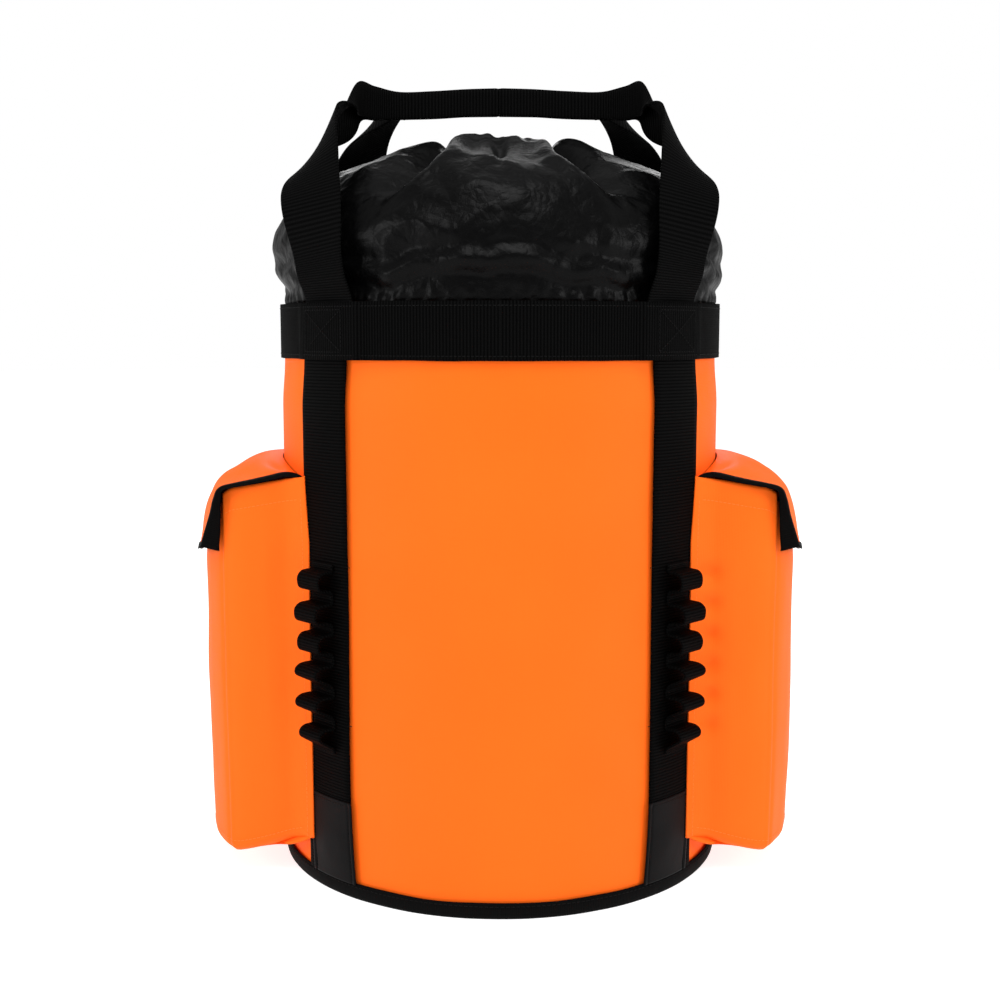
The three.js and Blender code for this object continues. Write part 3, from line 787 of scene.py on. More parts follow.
pocket_rows = []
for side, sign in (("left", -1), ("right", 1)):

    def pocket_place(u, v, sign=sign):
        hem, rim = pocket_hem(u), pocket_rim(u)
        spot, out = on_outline(u)
        free = min(1.0, min(u, 1 - u) / 0.05)
        if v >= 0.16:
            share = (v - 0.16) / 0.84
            height = hem + (rim - hem) * share
            point = pocket_wall(u, height, sign)
            turn = max(0.0, 1 - (height - hem) / (8 * MM))
            point -= out * (1 - math.sqrt(max(0.0, 1 - turn * turn))) * 6.5 * MM * free
        else:
            point = pocket_wall(u, hem, sign) - out * 6.5 * MM * free
            share = (1 - v / 0.16) ** 0.9
            inner_y = max(-100 * MM, min(100 * MM, (u - 0.5) * 2.55 * 100.0 * MM))
            inner = Vector((math.sqrt((171.2 * MM) ** 2 - inner_y ** 2), inner_y, POCKET_SEWN))
            point = point.lerp(inner, share)
            point.z -= 2.5 * MM * math.sin(math.pi * share) * free
        return to_side(point, sign)

    pocket = cloth_grid(
        f"pocket_bag_{side}", (240, 130), (POCKET_GIRTH, 0.33), pocket_place,
        orange_cloth.material, wall=1.2 * MM, shown_from=(sign * 0.19, 0, 0.15),
    )
    held(pocket, "bag", "body_fabric", f"pocket_{side}")

    def on_wall(share, height, sign=sign):
        return to_side(pocket_wall(share, height, sign), sign), to_side(on_outline(share)[1], sign)

    for share in (0.022, 0.978):
        low, high = pocket_hem(share) + 2 * MM, pocket_rim(share) - 16 * MM
        pocket_rows.append([on_wall(share, low + (high - low) * i / 59) for i in range(60)])
    shares = [0.03 + 0.94 * i / 119 for i in range(120)]
    pocket_rows.append([on_wall(share, pocket_rim(share) - 16 * MM) for share in shares])
    pocket_rows.append([on_wall(share, pocket_hem(share) + 9 * MM) for share in shares])
sewn(
    "pocket_stitches", pocket_rows, "bag", "body_fabric", orange_thread.material,
    pitch=3.2 * MM, size=0.4 * MM,
)

PILE_SIZE = (80 * MM, 22 * MM)
PILE_WALL = 0.5 * MM
tape_pile = Finish("hook_and_loop_tape", Roughness=0.95, Specular_IOR_Level=0.1)
pile = tape_pile.noise(2600.0, 2.0, 0.8)
tape_pile.feed(
    Base_Color=tape_pile.tint(pile, (0.003, 0.003, 0.003), (0.02, 0.02, 0.02)),
    Normal=tape_pile.relief(pile, 0.0008),
)
for side, sign in (("left", -1), ("right", 1)):

    def loop_place(u, v, sign=sign):
        height = (242.0 + 20.0 * v) * MM
        point = pocket_wall(0.5 + 0.185 * (u - 0.5), height, sign)
        return to_side(point + Vector((0.9 * MM, 0, 0)), sign)

    loop_tape = cloth_grid(
        f"pocket_loop_tape_cloth_{side}", (60, 16), PILE_SIZE, loop_place, tape_pile.material,
        wall=PILE_WALL, shown_from=(sign * 0.19, 0, 0.24),
    )
    held(loop_tape, "bag", "hook_tape", f"pocket_loop_tape_{side}")

# ---------------------------------------------------------------------------------------------
# A pocket flap is a lined lid of the same cloth with a black lining. It is sewn to the body
# along a curve, crowns over the pocket's mouth and hangs down its outer face, bound in tape.
FLAP_MIDDLE = (
    (169.4, 311.8), (180.0, 311.6), (189.0, 310.2), (198.5, 306.8), (207.0, 302.2), (215.6, 296.4),
    (222.4, 288.0), (227.6, 275.0), (230.8, 262.0), (232.6, 252.0), (234.4, 240.0),
)
FLAP_END = (
    (143.0, 297.4), (148.5, 302.6), (156.0, 303.6), (168.0, 300.8), (180.0, 298.2), (191.0, 296.2),
    (202.5, 293.2), (206.6, 286.0), (209.6, 274.8), (213.2, 264.0), (217.8, 250.0),
)


def flap_point(u, v, sign):
    """Across the flap from the body seam at u 0 to the hem at u 1; v runs from end to end."""
    middle, end = on_profile(FLAP_MIDDLE, u), on_profile(FLAP_END, u)
    side = 2 * v - 1
    y = side * (97.0 - 4.6 * u * u)
    x = middle.x + (end.x - middle.x) * abs(side) ** (2.5 - 0.7 * u)
    z = middle.y + (end.y - middle.y) * abs(side) ** 2.3
    start = FLAP_MIDDLE[0][0] + (FLAP_END[0][0] - FLAP_MIDDLE[0][0]) * abs(side) ** 2.5
    seam = math.sqrt(169.6 ** 2 - (side * 97.0) ** 2)
    x += (seam - start) * (1 - u) ** 3
    free = math.sin(math.pi * min(1.0, u * 0.95)) * (1 - abs(side) ** 6)
    z += 1.6 * swirl(u * 3.0, v * 5.0, sign, 14.0) * free
    x += 1.0 * swirl(u * 5.0, v * 9.0, sign, 15.0) * free
    z -= 3.0 * bell(u - 0.13, 0.06) * bell(abs(side) - 0.72, 0.16)
    x += 1.8 * math.sin(v * 9.0 + sign) * max(0.0, u - 0.8) * 2 * (1 - abs(side) ** 4)
    return Vector((x * sign, y * sign, z)) * MM


def flap_frame(u, v, sign):
    """The flap's point, its outward normal, and its directions down and along."""
    here = flap_point(u, v, sign)
    down = flap_point(min(u + 0.01, 1.0), v, sign) - flap_point(max(u - 0.01, 0.0), v, sign)
    along = flap_point(u, min(v + 0.01, 1.0), sign) - flap_point(u, max(v - 0.01, 0.0), sign)
    return here, down.cross(along).normalized(), down.normalized(), along.normalized()


for side, sign in (("left", -1), ("right", 1)):
    lid = cloth_grid(
        f"flap_cloth_{side}", (84, 130), (0.13, 0.19), lambda u, v, sign=sign: flap_point(u, v, sign),
        [orange_cloth.material, heavy_cloth.material], wall=2.0 * MM, inside=1,
        shown_from=(sign * 0.19, 0, 0.22),
    )
    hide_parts(f"flap_root_{side}", f"pocket_flap_{side}", f"flap_lining_{side}")
    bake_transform(lid)

    # The binding runs down the front edge, along the hem and up the rear edge. Its inner leg
    # widens at both lower corners into a black wall across the gap under the flap: painted shade for that
    # shadowed gap.
    edge_line = [(i / 60, 0.0) for i in range(61)]
    edge_line += [(1.0, i / 80) for i in range(1, 81)]
    edge_line += [(1.0 - i / 60, 1.0) for i in range(1, 61)]

    def binding_strip(w, t, sign=sign, edge_line=edge_line):
        u, v = edge_line[min(int(round(w * (len(edge_line) - 1))), len(edge_line) - 1)]
        here, out, down, along = flap_frame(u, v, sign)
        facing = Vector((sign * 0.4, 0, 1.0)).dot(out)
        out = out if facing > 0 else -out
        if u < 0.9999 or v in (0.0, 1.0):
            inward = along if v < 0.5 else -along
            # Towards the lower corners the inner leg grows to a 13 mm black wall, a dark sheet that paints
            # the shade in the gap between flap and pocket.
            drop = min(1.0, max(0.0, (u - 0.56) / 0.44))
            leg = 1.7 + 11.5 * drop ** 1.5
            away = -out * leg * MM
        else:
            inward = -down
            away = (-out * 2.6 + inward * 5.0) * MM
        proud = out * 0.75 * MM
        if t < 0.4:
            inset = (1 - t / 0.4) * 4.6 * MM
            return here + inward * (inset - 0.4 * MM) + proud
        share = (t - 0.4) / 0.6
        round_edge = inward * 0.5 * MM * math.cos(share * math.pi / 2)
        return here - round_edge + proud * (1 - share) + away * share

    hem = cloth_grid(
        f"flap_binding_tape_{side}", (len(edge_line) - 1, 10), (0.42, 0.016), binding_strip,
        tape_finish.material, wall=0.7 * MM, offset=0.0,
    )
    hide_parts(f"flap_binding_{side}")

    def hook_place(u, v, sign=sign):
        here, out, down, along = flap_frame(0.83 + 0.13 * v, 0.5 + 0.42 * (u - 0.5), sign)
        out = out if out.x * sign > 0 else -out
        return here - out * 2.35 * MM

    hook = cloth_grid(
        f"flap_hook_tape_cloth_{side}", (60, 16), PILE_SIZE, hook_place, tape_pile.material,
        wall=PILE_WALL, offset=1.0, shown_from=(sign * 0.4, 0, 0.24),
    )
    held(hook, f"flap_{side}", "hook_tape", f"flap_hook_tape_{side}")
    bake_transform(hem)

# ---------------------------------------------------------------------------------------------
# The collar is a tube of thin coated nylon sewn inside the body's top edge. Its mouth is
# gathered on a drawcord, so it rises from puckers above the band into a few large folds.
COLLAR_LINE = (
    (165.0, 417.0), (164.8, 424.0), (165.6, 431.0), (166.6, 447.0), (166.8, 463.0), (163.2, 482.0),
    (154.5, 500.0), (139.5, 514.0), (118.0, 524.5), (92.0, 532.0), (68.0, 538.4), (54.0, 540.6),
    (44.0, 538.4), (36.0, 534.4), (31.0, 530.4), (29.4, 526.0),
)
# The cloth stays outside its hem, and inside the body up to where it comes free.
MOUTH_CLEAR, BODY_CLEAR, COLLAR_FREE = 28.2, 166.9, 431.0
# Folds by their angle, height and half-width; tucks by their angle and depth.
COLLAR_FOLDS = ((0, 4.0, 29), (60, 8.4, 15), (118, 5.0, 24), (180, 5.5, 30), (-118, 5.0, 24), (-60, 8.4, 15))
FRONT_TUCK = 35
COLLAR_TUCKS = ((FRONT_TUCK, 20.0), (-FRONT_TUCK, 20.0), (90, 7.0), (-90, 7.0), (148, 7.0), (-148, 7.0))

collar_cloth = Finish("coated_collar_nylon", Roughness=0.30, Specular_IOR_Level=0.07)
where = collar_cloth.place()
drift = collar_cloth.node(
    "ShaderNodeTexNoise", "Color", None, {"Vector": where, "Scale": 18.0, "Detail": 2.0},
)
bent = collar_cloth.node(
    "ShaderNodeVectorMath", 0, {"operation": "MULTIPLY_ADD"}, {0: drift, 1: (0.03, 0.03, 0.03), 2: where},
)
facets, creases = (
    collar_cloth.node(
        "ShaderNodeTexVoronoi", 0, {"feature": "DISTANCE_TO_EDGE"}, {"Vector": bent, "Scale": scale},
    ) for scale in (62.0, 150.0)
)
crackle = collar_cloth.noise(260.0, 4.0, 0.65)
broad = collar_cloth.noise(16.0, 3.0, 0.6)
collar_cloth.feed(
    Base_Color=collar_cloth.tint(broad, (0.0003, 0.0003, 0.0003), (0.0010, 0.0010, 0.0011)),
    Roughness=0.22 + 0.24 * crackle + 0.08 * broad,
    Normal=collar_cloth.relief(facets * 0.9 + creases * 0.35 + crackle * 0.16, 0.0011),
)


def crest(x, y, z, seed):
    """Sharp-topped creases, from 0 to 1."""
    away = abs(swirl(x, y, z, seed))
    return 1 - away * 2.2 if away < 0.45 else 0.0


def collar_place(u, v):
    degrees = 360.0 * u - 180.0
    turn = math.radians(degrees)
    radius, height = on_profile(COLLAR_LINE, v)
    before, after = (on_profile(COLLAR_LINE, min(max(v + step, 0.0), 1.0)) for step in (-0.01, 0.01))
    slope = (after - before).normalized()
    out = Vector((slope.y, -slope.x))
    free = min(1.0, max(0.0, (height - 425.0) / 16.0)) if v < 0.5 else 1.0
    east, south = math.sin(turn), math.cos(turn)
    x, y = radius * east, -radius * south

    # Broad fullness at the sides, between the straps.
    move = 5.0 * bell(height - 473.0, 20.0) * (1 if v < 0.6 else 0) * abs(east) ** 5
    # Large folds round the mouth, each with its own height, and the deep tucks between them.
    for middle, tall, wide in COLLAR_FOLDS:
        off = abs((degrees - middle + 180) % 360 - 180)
        move += tall * bell(off, wide) * bell(radius - 56.0, 42.0 if radius > 56 else 15.0)
    for middle, deep in COLLAR_TUCKS:
        way = 1 if middle > 0 else -1
        bend = 9.0 * bell(radius - 118.0, 34.0) if abs(middle) == FRONT_TUCK else 4.0 * bell(radius - 100, 40)
        line = middle - way * bend
        off = ((degrees - line + 180) % 360 - 180) * way
        narrow = (5.0 + 0.045 * radius) if off < 0 else (10.0 + 0.13 * radius)
        span = math.radians(off) * radius
        reach = 1.0 / (1.0 + math.exp((radius - 148.0) / 7.0))
        move -= deep * bell(span, narrow) * reach * min(1.0, max(0.0, (radius - 26.0) / 18.0))
        # The cloth stands up in a ridge beside the tuck.
        move += 0.34 * deep * bell(span + narrow * 1.6, narrow) * reach * bell(radius - 100.0, 60.0)
    # The front fold's own narrow pleat.
    gap = 2.6 + 0.05 * max(0.0, 125.0 - radius)
    if south > 0:
        move -= 5.5 * bell(x, gap) * bell(radius - 98.0, 26.0)
        move += 2.0 * bell(abs(x) - 11.0, 5.0) * bell(radius - 66.0, 40.0)
    # Small pleats where the hem is gathered.
    wander = 1.5 * swirl(east * 2, south * 2, 0.5, 21.0)
    move += 2.3 * math.sin(21 * turn + wander * 2.0) * bell(radius - 34.0, 15.0)
    move += 0.9 * math.sin(34 * turn + 1.0 + wander * 3.0) * bell(radius - 46.0, 20.0)
    # A wavy crumple runs round just above the band, over puckers from its stitches.
    level = 450.0 + 8.0 * swirl(east * 3.6, south * 3.6, 0.2, 22.0) + 3.5 * math.cos(7.0 * turn)
    level += 4.0 * swirl(east * 9.0, south * 9.0, 0.7, 29.0)
    if v < 0.5:
        drop = height - level
        sharp = 3.4 if drop > 0 else 5.5
        uneven = 0.7 + 0.7 * swirl(east * 6, south * 6, 3.0, 23.0)
        move += (1.6 + 2.2 * abs(south)) * bell(drop, sharp + 2.0) * uneven
        move -= 2.4 * bell(drop + 10.0, 5.0)
        move -= 1.8 * bell(drop - 10.0, 6.0)
        pucker = math.sin(2 * math.pi * (radius * turn) / 12.2 + 2.2 * swirl(east * 6, south * 6, 1.0, 24.0))
        move += 0.9 * pucker * bell(height - 429.0, 4.5) * min(1.0, max(0.0, (height - 420.0) / 8.0))
    # Creases of every size, and longer drags that run down from the tucks.
    px, py, pz = x * 0.001, y * 0.001, height * 0.001
    move += free * 3.8 * swirl(px * 11, py * 11, pz * 14, 25.0)
    move += free * 3.0 * (crest(px * 17 + pz * 9, py * 17, pz * 15, 26.0) - 0.45)
    move += free * 1.1 * (crest(px * 34 - pz * 16, py * 34, pz * 36, 27.0) - 0.45)
    move += free * 0.4 * (crest(px * 70 + pz * 20, py * 70, pz * 66, 28.0) - 0.45)
    radius += out.x * move
    height += out.y * move
    radius = max(radius, MOUTH_CLEAR)
    if height < COLLAR_FREE:
        radius = min(radius, BODY_CLEAR)
    return Vector((radius * east, -radius * south, height)) * MM


collar = cloth_grid(
    "collar_cloth", (520, 150), (2 * math.pi * 0.168, 0.30), collar_place,
    collar_cloth.material, wall=0.5 * MM, shown_from=(0, 0, 0.40),
)
held(collar, "bag", "collar_nylon", "collar")


def hem_place(u, v):
    turn = 2 * math.pi * u
    ring_turn = 2 * math.pi * v
    gather = 0.7 * math.sin(21 * turn) + 0.4 * math.sin(34 * turn + 1.0)
    radius = 24.6 + (2.7 + 0.35 * gather) * math.cos(ring_turn)
    height = 531.0 + 5.8 * math.sin(ring_turn) + 0.8 * gather * math.sin(ring_turn)
    return Vector((radius * math.sin(turn), -radius * math.cos(turn), height)) * MM


hem_ring = cloth_grid(
    "collar_hem_cloth", (192, 24), (0.155, 0.03), hem_place, collar_cloth.material,
)
held(hem_ring, "bag", "collar_nylon", "collar_hem")

# ---------------------------------------------------------------------------------------------
# The drawcord is braided nylon. Both its legs pass through a barrel lock of two moulded pieces
# with a steel spring between them, which grips them until the button is pressed.
cord_finish = Finish("braided_cord", Roughness=0.7, Specular_IOR_Level=0.15)
strands = cord_finish.cells(1100.0)
cord_finish.feed(
    Base_Color=cord_finish.tint(strands, (0.006, 0.006, 0.006), (0.03, 0.03, 0.03)),
    Normal=cord_finish.relief(strands, 0.0004),
)
moulded = Finish("moulded_acetal", Roughness=0.42, Specular_IOR_Level=0.3)
fine = moulded.noise(1400.0, 2.0, 0.5)
moulded.feed(
    Base_Color=moulded.tint(fine, (0.006, 0.006, 0.006), (0.010, 0.010, 0.010)),
    Roughness=0.36 + 0.12 * fine,
    Normal=moulded.relief(fine, 0.00006),
)
steel = Finish("spring_steel", Metallic=1.0, Roughness=0.3)
steel.feed(
    Base_Color=steel.tint(steel.noise(600.0), (0.42, 0.42, 0.42), (0.6, 0.6, 0.6)),
    Roughness=0.22 + 0.2 * steel.noise(900.0),
)
coated("drawcord", cord_finish.material)
coated("lock_body", moulded.material)
coated("lock_button", moulded.material)

SPRING_LOW, SPRING_HIGH = 510.9 * MM, 518.9 * MM
SPRING_R, WIRE_R, SPRING_TURNS = 5.2 * MM, 0.44 * MM, 4.5


def coil_place(u, v):
    """The end turns lie closed, and the rest rise evenly."""
    turn = 2 * math.pi * SPRING_TURNS * u
    lift = min(1.0, max(0.0, (u - 0.08) / 0.84))
    ring = 2 * math.pi * v
    radius = SPRING_R + WIRE_R * math.cos(ring)
    height = SPRING_LOW + (SPRING_HIGH - SPRING_LOW) * lift + WIRE_R * math.sin(ring)
    return Vector((radius * math.cos(turn), radius * math.sin(turn), height))


coil = cloth_grid("lock_spring_wire", (180, 8), (0.147, 0.003), coil_place, steel.material)
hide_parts("lock_spring")
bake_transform(coil)

# ---------------------------------------------------------------------------------------------
# Haul handles: each pair of straps leaves the band, leans in over the collar, twists and is
# folded in half along its length into a grip. The front grip lies just ahead of the rear one.
# Each station gives a middle point in mm, the way across, the fold, and the way the halves fold.
def whole_handle(half):
    """The right half's stations, from the band to the middle, followed by the left half's."""
    points, sides, folds, downs = (
        smooth_path(list(column), 14) for column in zip(*(
            (Vector(point) * MM, Vector(side).normalized(), Vector((fold, 0, 0)), Vector(down))
            for point, side, fold, down in half
        ))
    )
    right = [(p, s, min(max(f.x, 0.0), 1.0), d) for p, s, f, d in zip(points, sides, folds, downs)]
    left = []
    for p, s, f, d in reversed(right[:-1]):
        left.append((Vector((-p.x, p.y, p.z)), Vector((s.x, -s.y, -s.z)), f, Vector((-d.x, d.y, d.z))))
    return right + left


front_half = [
    ((118.6, -121.1, 405.0), (0.714, 0.700, 0.0), 0.0, (0, 0, -1)),
    ((118.8, -121.4, 427.0), (0.714, 0.700, 0.0), 0.0, (0, 0, -1)),
    ((124.0, -124.0, 445.0), (0.716, 0.695, -0.05), 0.0, (0, 0, -1)),
    ((126.6, -122.0, 463.0), (0.74, 0.66, -0.12), 0.0, (0, 0, -1)),
    ((131.4, -112.0, 495.0), (0.88, 0.45, -0.16), 0.0, (0, 0, -1)),
    ((133.0, -98.0, 516.0), (0.84, 0.46, -0.30), 0.0, (0, 0, -1)),
    ((129.0, -81.0, 536.0), (0.58, 0.64, -0.50), 0.0, (0, 0, -1)),
    ((123.5, -63.0, 554.0), (0.32, 0.74, -0.58), 0.05, (-0.3, 0.1, -0.9)),
    ((114.8, -45.0, 569.0), (0.22, 0.84, -0.48), 0.30, (-0.35, 0.1, -0.95)),
    ((106.0, -28.0, 590.5), (0.05, 0.98, -0.15), 0.82, (-0.05, 0.0, -1.10)),
    ((94.0, -18.5, 589.0), (0.0, 1.0, 0.0), 0.94, (0.0, 0.0, -0.98)),
    ((76.0, -14.0, 585.6), (0.0, 1.0, 0.0), 0.95, (0, 0, -0.80)),
    ((50.0, -13.0, 586.4), (0.0, 1.0, 0.0), 0.95, (0, 0, -0.80)),
    ((25.0, -12.6, 587.9), (0.0, 1.0, 0.0), 0.95, (0, 0, -0.80)),
    ((0.0, -12.5, 588.6), (0.0, 1.0, 0.0), 0.95, (0, 0, -0.80)),
]
rear_half = [
    ((123.9, 116.0, 405.0), (0.678, -0.735, 0.0), 0.0, (0, 0, -1)),
    ((124.2, 116.2, 428.0), (0.678, -0.735, 0.0), 0.0, (0, 0, -1)),
    ((127.6, 117.0, 452.0), (0.70, -0.70, -0.05), 0.0, (0, 0, -1)),
    ((125.6, 110.0, 482.0), (0.76, -0.58, -0.20), 0.0, (0, 0, -1)),
    ((121.5, 90.0, 518.0), (0.83, -0.35, -0.36), 0.0, (0, 0, -1)),
    ((113.5, 66.0, 547.0), (0.86, -0.10, -0.44), 0.0, (0, 0, -1)),
    ((101.0, 44.0, 568.0), (0.74, -0.40, -0.44), 0.12, (-0.3, -0.2, -0.75)),
    ((92.0, 27.0, 583.0), (0.35, -0.85, -0.30), 0.55, (-0.5, -0.1, -0.6)),
    ((80.0, 17.0, 588.0), (0.08, -0.99, -0.05), 0.88, (-0.2, 0.0, -0.72)),
    ((66.0, 14.0, 588.4), (0.0, -1.0, 0.0), 0.95, (0, 0, -0.70)),
    ((36.0, 12.8, 589.0), (0.0, -1.0, 0.0), 0.95, (0, 0, -0.70)),
    ((0.0, 12.6, 589.4), (0.0, -1.0, 0.0), 0.95, (0, 0, -0.70)),
]
for end, half, hinge_y in (("front", front_half, -0.136), ("rear", rear_half, 0.136)):
    handle = tape(f"haul_handle_{end}", whole_handle(half), STRAP_W, cuts=16)
    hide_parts(f"handle_{end}")
    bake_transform(handle)

# ---------------------------------------------------------------------------------------------
# Back pad: closed-cell foam under a matt knitted cover, quilted through into soft channels and
# bound round its edge. A webbing-faced yoke above it carries the shoulder straps.
pad_cover = Finish("knitted_pad_cover", Roughness=0.85, Specular_IOR_Level=0.08)
knit = pad_cover.cells(520.0)
wear = pad_cover.noise(28.0, 4.0, 0.6)
pad_cover.feed(
    Base_Color=pad_cover.tint(knit * 0.7 + wear * 0.3, (0.0015, 0.0015, 0.0017), (0.0095, 0.0095, 0.0100)),
    Roughness=0.75 + 0.2 * knit,
    Normal=pad_cover.relief(knit + 1.5 * wear, 0.0006),
)


def cushion_form(name, cells, place, material):
    """A closed padded form. place gives a middle point, its outward direction, and how far the
    outer and the inner skins stand from it, all meeting at the edges."""
    bm = bmesh.new()
    for skin in (1, -1):
        made = bmesh.ops.create_grid(bm, x_segments=cells[0], y_segments=cells[1], size=0.5)
        for vert in made["verts"]:
            u = min(max(vert.co.x + 0.5, 0.0), 1.0)
            v = min(max(vert.co.y + 0.5, 0.0), 1.0)
            middle, out, front, rear = place(u, v)
            vert.co = middle + out * (front if skin > 0 else -rear)
    bmesh.ops.remove_doubles(bm, verts=bm.verts, dist=2e-5)
    bmesh.ops.recalc_face_normals(bm, faces=bm.faces)
    return finished(name, bm, material)


def crown(u, v, sharp_u, sharp_v):
    """1 in the middle of a pad, falling to 0 at all four edges."""
    across = max(0.0, 1 - abs(2 * u - 1) ** sharp_u)
    along = max(0.0, 1 - abs(2 * v - 1) ** sharp_v)
    return math.sqrt(across * along)


PAD_LOW, PAD_HIGH = 80.6 * MM, 331.6 * MM
PAD_HALF = 35.7
PAD_BACK = 171.0 * MM
PAD_CROWN = 10.6
QUILT_DEPTH = 6.6


def back_pad_place(u, v):
    degrees = 180 + (2 * u - 1) * PAD_HALF * (1 - 0.06 * (2 * v - 1) ** 4)
    height = PAD_LOW + (PAD_HIGH - PAD_LOW) * v
    full = crown(u, v, 9, 14)
    quilt = 0.0
    for line in (0.33, 0.67):
        quilt = max(quilt, bell(u - line, 0.018))
    for line in (0.26, 0.5, 0.74):
        quilt = max(quilt, bell(v - line, 0.014) * (1 - bell(u - 0.5, 0.10)))
    puff = 0.6 * swirl(u * 5, v * 7, 0.5, 41.0)
    front = (PAD_CROWN + puff - QUILT_DEPTH * quilt) * MM * full
    out = around(degrees, 1.0, 0.0)
    return out * PAD_BACK + Vector((0, 0, height)), out, front + 0.2 * MM * full, 0.3 * MM * full


back_pad = cushion_form("back_pad_foam", (150, 170), back_pad_place, pad_cover.material)
held(back_pad, "bag", "pad_cover", "back_pad")

pad_edge = []
for i in range(161):
    turn = 2 * math.pi * i / 160
    square = max(abs(math.cos(turn)), abs(math.sin(turn)))
    soft = 0.96 + 0.04 * square
    u = 0.5 + 0.5 * math.cos(turn) / square * soft
    v = 0.5 + 0.5 * math.sin(turn) / square * soft
    degrees = 180 + (2 * u - 1) * PAD_HALF
    height = PAD_LOW + (PAD_HIGH - PAD_LOW) * v
    pad_edge.append((around(degrees, PAD_BACK + 0.3 * MM, height), around(degrees, 1.0, 0.0)))


def piping_place(u, v):
    index = min(int(round(u * 160)), 160)
    spot, out = pad_edge[index]
    forward = (pad_edge[(index + 1) % 160][0] - pad_edge[(index - 1) % 160][0]).normalized()
    side = out.cross(forward).normalized()
    turn = 2 * math.pi * v
    return spot + out * (1.2 + 1.7 * math.cos(turn)) * MM + side * 2.4 * MM * math.sin(turn)


piping = cloth_grid("back_pad_binding", (160, 10), (1.0, 0.014), piping_place, tape_finish.material)
held(piping, "bag", "binding_tape")


def yoke_place(u, v):
    lip = 0.5 * MM * bell(min(u, 1 - u) - 0.012, 0.012) + 0.5 * MM * bell(min(v, 1 - v) - 0.05, 0.05)
    degrees = 180 + (2 * u - 1) * 35.8
    return around(degrees, 171.4 * MM + lip, (340.3 + 42.4 * v) * MM)


yoke = cloth_grid(
    "yoke_webbing", (120, 24), (0.21, 0.043), yoke_place, webbing.material,
    wall=1.2 * MM, offset=1.0, shown_from=(0, 0, 0.36),
)
held(yoke, "bag", "webbing", "yoke")
YOKE_FACE = 172.9 * MM
rows = [ring_line(YOKE_FACE, z * MM, 145.5, 214.5, 60) for z in (343.5, 379.5)]
for middle in (158.0, 202.0):
    rows += stitched_box(middle, 9.5, 345.5 * MM, 356.0 * MM, 10, lambda degrees: YOKE_FACE)
sewn("yoke_stitches", rows, "bag", "webbing", thread_finish.material, pitch=2.9 * MM, size=0.6 * MM)

# ---------------------------------------------------------------------------------------------
# Shoulder straps: the same foam and cover, bound along both edges, with 25 mm webbing sewn down
# the face to a ladder lock. The lower webbing comes up to the lock from a tab near the base.
CUSHION_LINE = (
    (178.3, 369.5), (203.3, 379.5), (228.3, 353.5), (238.3, 303.6), (236.3, 253.5), (222.3, 199.6),
    (211.0, 165.0),
)
HARNESS_BEARING = 22.0
SIDE_WEB = 25 * MM


def pad_half_width(v):
    """A shoulder pad narrows a little at its head and more towards its lock."""
    head = 0.12 * max(0.0, (0.1 - v) / 0.1)
    return 32.0 * MM * (1 - 0.22 * max(0.0, (v - 0.8) / 0.2) ** 2 - head)


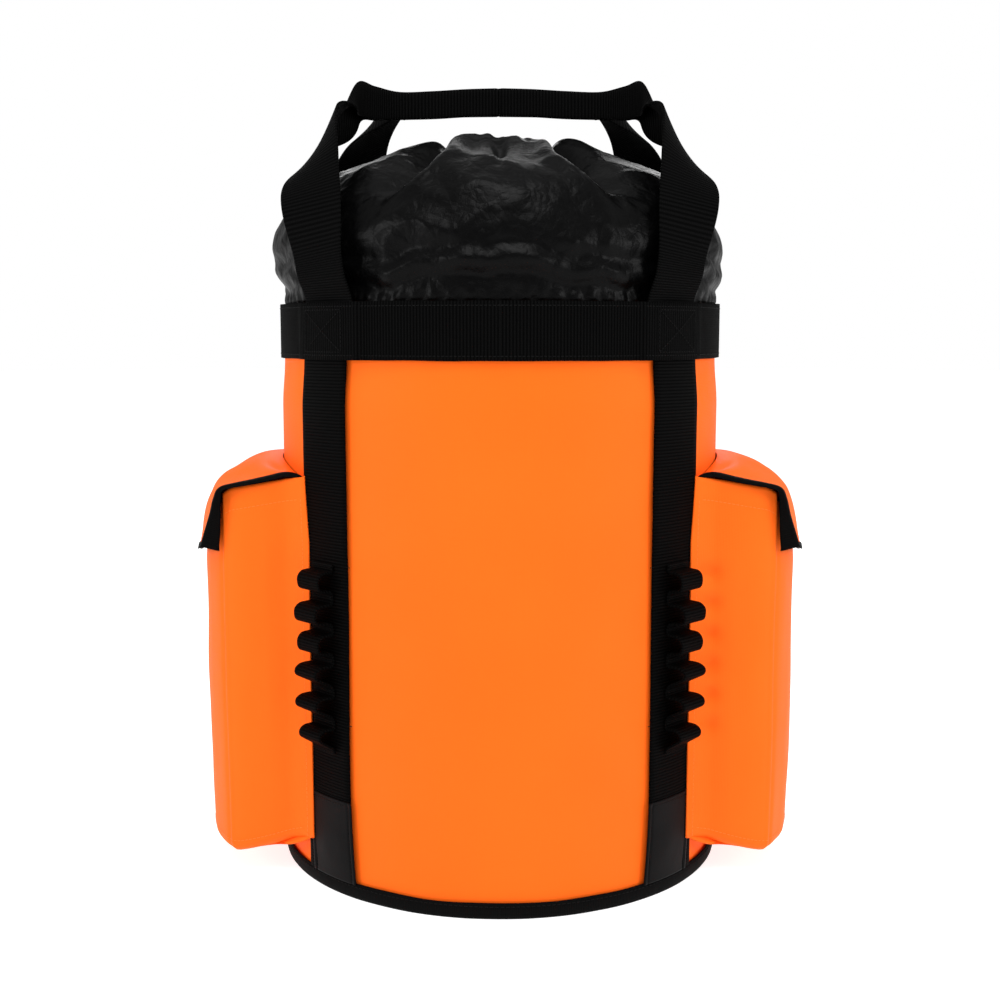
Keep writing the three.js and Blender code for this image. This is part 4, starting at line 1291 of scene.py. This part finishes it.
for side, sign in (("left", -1), ("right", 1)):
    bearing = 180.0 - sign * HARNESS_BEARING
    outward = around(bearing, 1.0, 0.0)
    aside = around(bearing + 90.0, 1.0, 0.0)
    path = smooth_path([outward * (r * MM) + Vector((0, 0, z * MM)) for r, z in CUSHION_LINE], 24)

    def on_path(v, path=path):
        place = min(max(v, 0.0), 1.0) * (len(path) - 1)
        low = min(int(place), len(path) - 2)
        run = (path[min(low + 2, len(path) - 1)] - path[max(low - 1, 0)]).normalized()
        return path[low].lerp(path[low + 1], place - low), run

    def strap_pad_place(u, v, aside=aside, on_path=on_path):
        spot, run = on_path(0.005 + 0.99 * v)
        out = aside.cross(run).normalized()
        out = out if out.dot(spot - Vector((0, 0, spot.z))) > 0 or v < 0.2 else -out
        full = crown(u, v, 5, 30)
        channel = 0.45 * (bell(u - 0.17, 0.03) + bell(u - 0.83, 0.03))
        thick = (5.4 + 0.35 * swirl(v * 9, u * 2, 1.0, 42.0)) * MM * full * (1 - channel)
        return spot + aside * (2 * u - 1) * pad_half_width(v), out, thick, thick

    body_name = f"shoulder_{side}"
    shoulder = cushion_form(f"shoulder_pad_{side}", (44, 150), strap_pad_place, pad_cover.material)
    held(shoulder, body_name, "pad_cover", f"shoulder_strap_{side}")

    stations = []
    first_out = aside.cross(on_path(0.5)[1]).normalized()
    turn_out = 1 if first_out.dot(outward) > 0 else -1
    for i in range(81):
        spot, run = on_path(0.10 + 0.89 * i / 80)
        out = aside.cross(run).normalized() * turn_out
        stations.append((spot + out * 6.3 * MM, aside))
    held(tape(f"shoulder_webbing_{side}", stations, SIDE_WEB, cuts=6), body_name, "webbing")
    for edge, sense in (("inner", -1), ("outer", 1)):

        def edge_place(u, v, sense=sense, aside=aside, on_path=on_path, turn_out=turn_out):
            spot, run = on_path(0.01 + 0.98 * u)
            out = aside.cross(run).normalized() * turn_out
            turn = 2 * math.pi * v
            side_step = sense * (pad_half_width(u) - 1.4 * MM + 2.4 * MM * math.sin(turn))
            return spot + aside * side_step + out * 2.2 * MM * math.cos(turn)

        bound = cloth_grid(
            f"shoulder_binding_{edge}_{side}", (140, 10), (0.30, 0.014), edge_place, tape_finish.material,
        )
        held(bound, body_name, "binding_tape")

    coated(f"ladder_lock_{side}", moulded.material)

    low = outward * 175.2 * MM + Vector((0, 0, 55.5 * MM))
    high = outward * 207.3 * MM + Vector((0, 0, 123.8 * MM))
    stations = []
    for i in range(25):
        bow = outward * 2.0 * MM * math.sin(math.pi * i / 24)
        stations.append((low.lerp(high, i / 24) + bow, aside))
    lower = tape(f"lower_webbing_{side}", stations, SIDE_WEB, cuts=6)
    held(lower, f"web_{side}", "webbing", f"lower_web_{side}")

    def tab_place(u, v, bearing=bearing):
        degrees = bearing + (2 * u - 1) * 5.0
        return around(degrees, (171.6 + 1.2 * bell(min(v, 1 - v), 0.1)) * MM, (24.2 + 27.6 * v) * MM)

    tab = cloth_grid(
        f"webbing_tab_{side}", (30, 16), (0.031, 0.028), tab_place, webbing.material,
        wall=1.4 * MM, offset=1.0, shown_from=(0, 0, 0.04),
    )
    held(tab, "bag", "webbing", f"web_anchor_{side}")
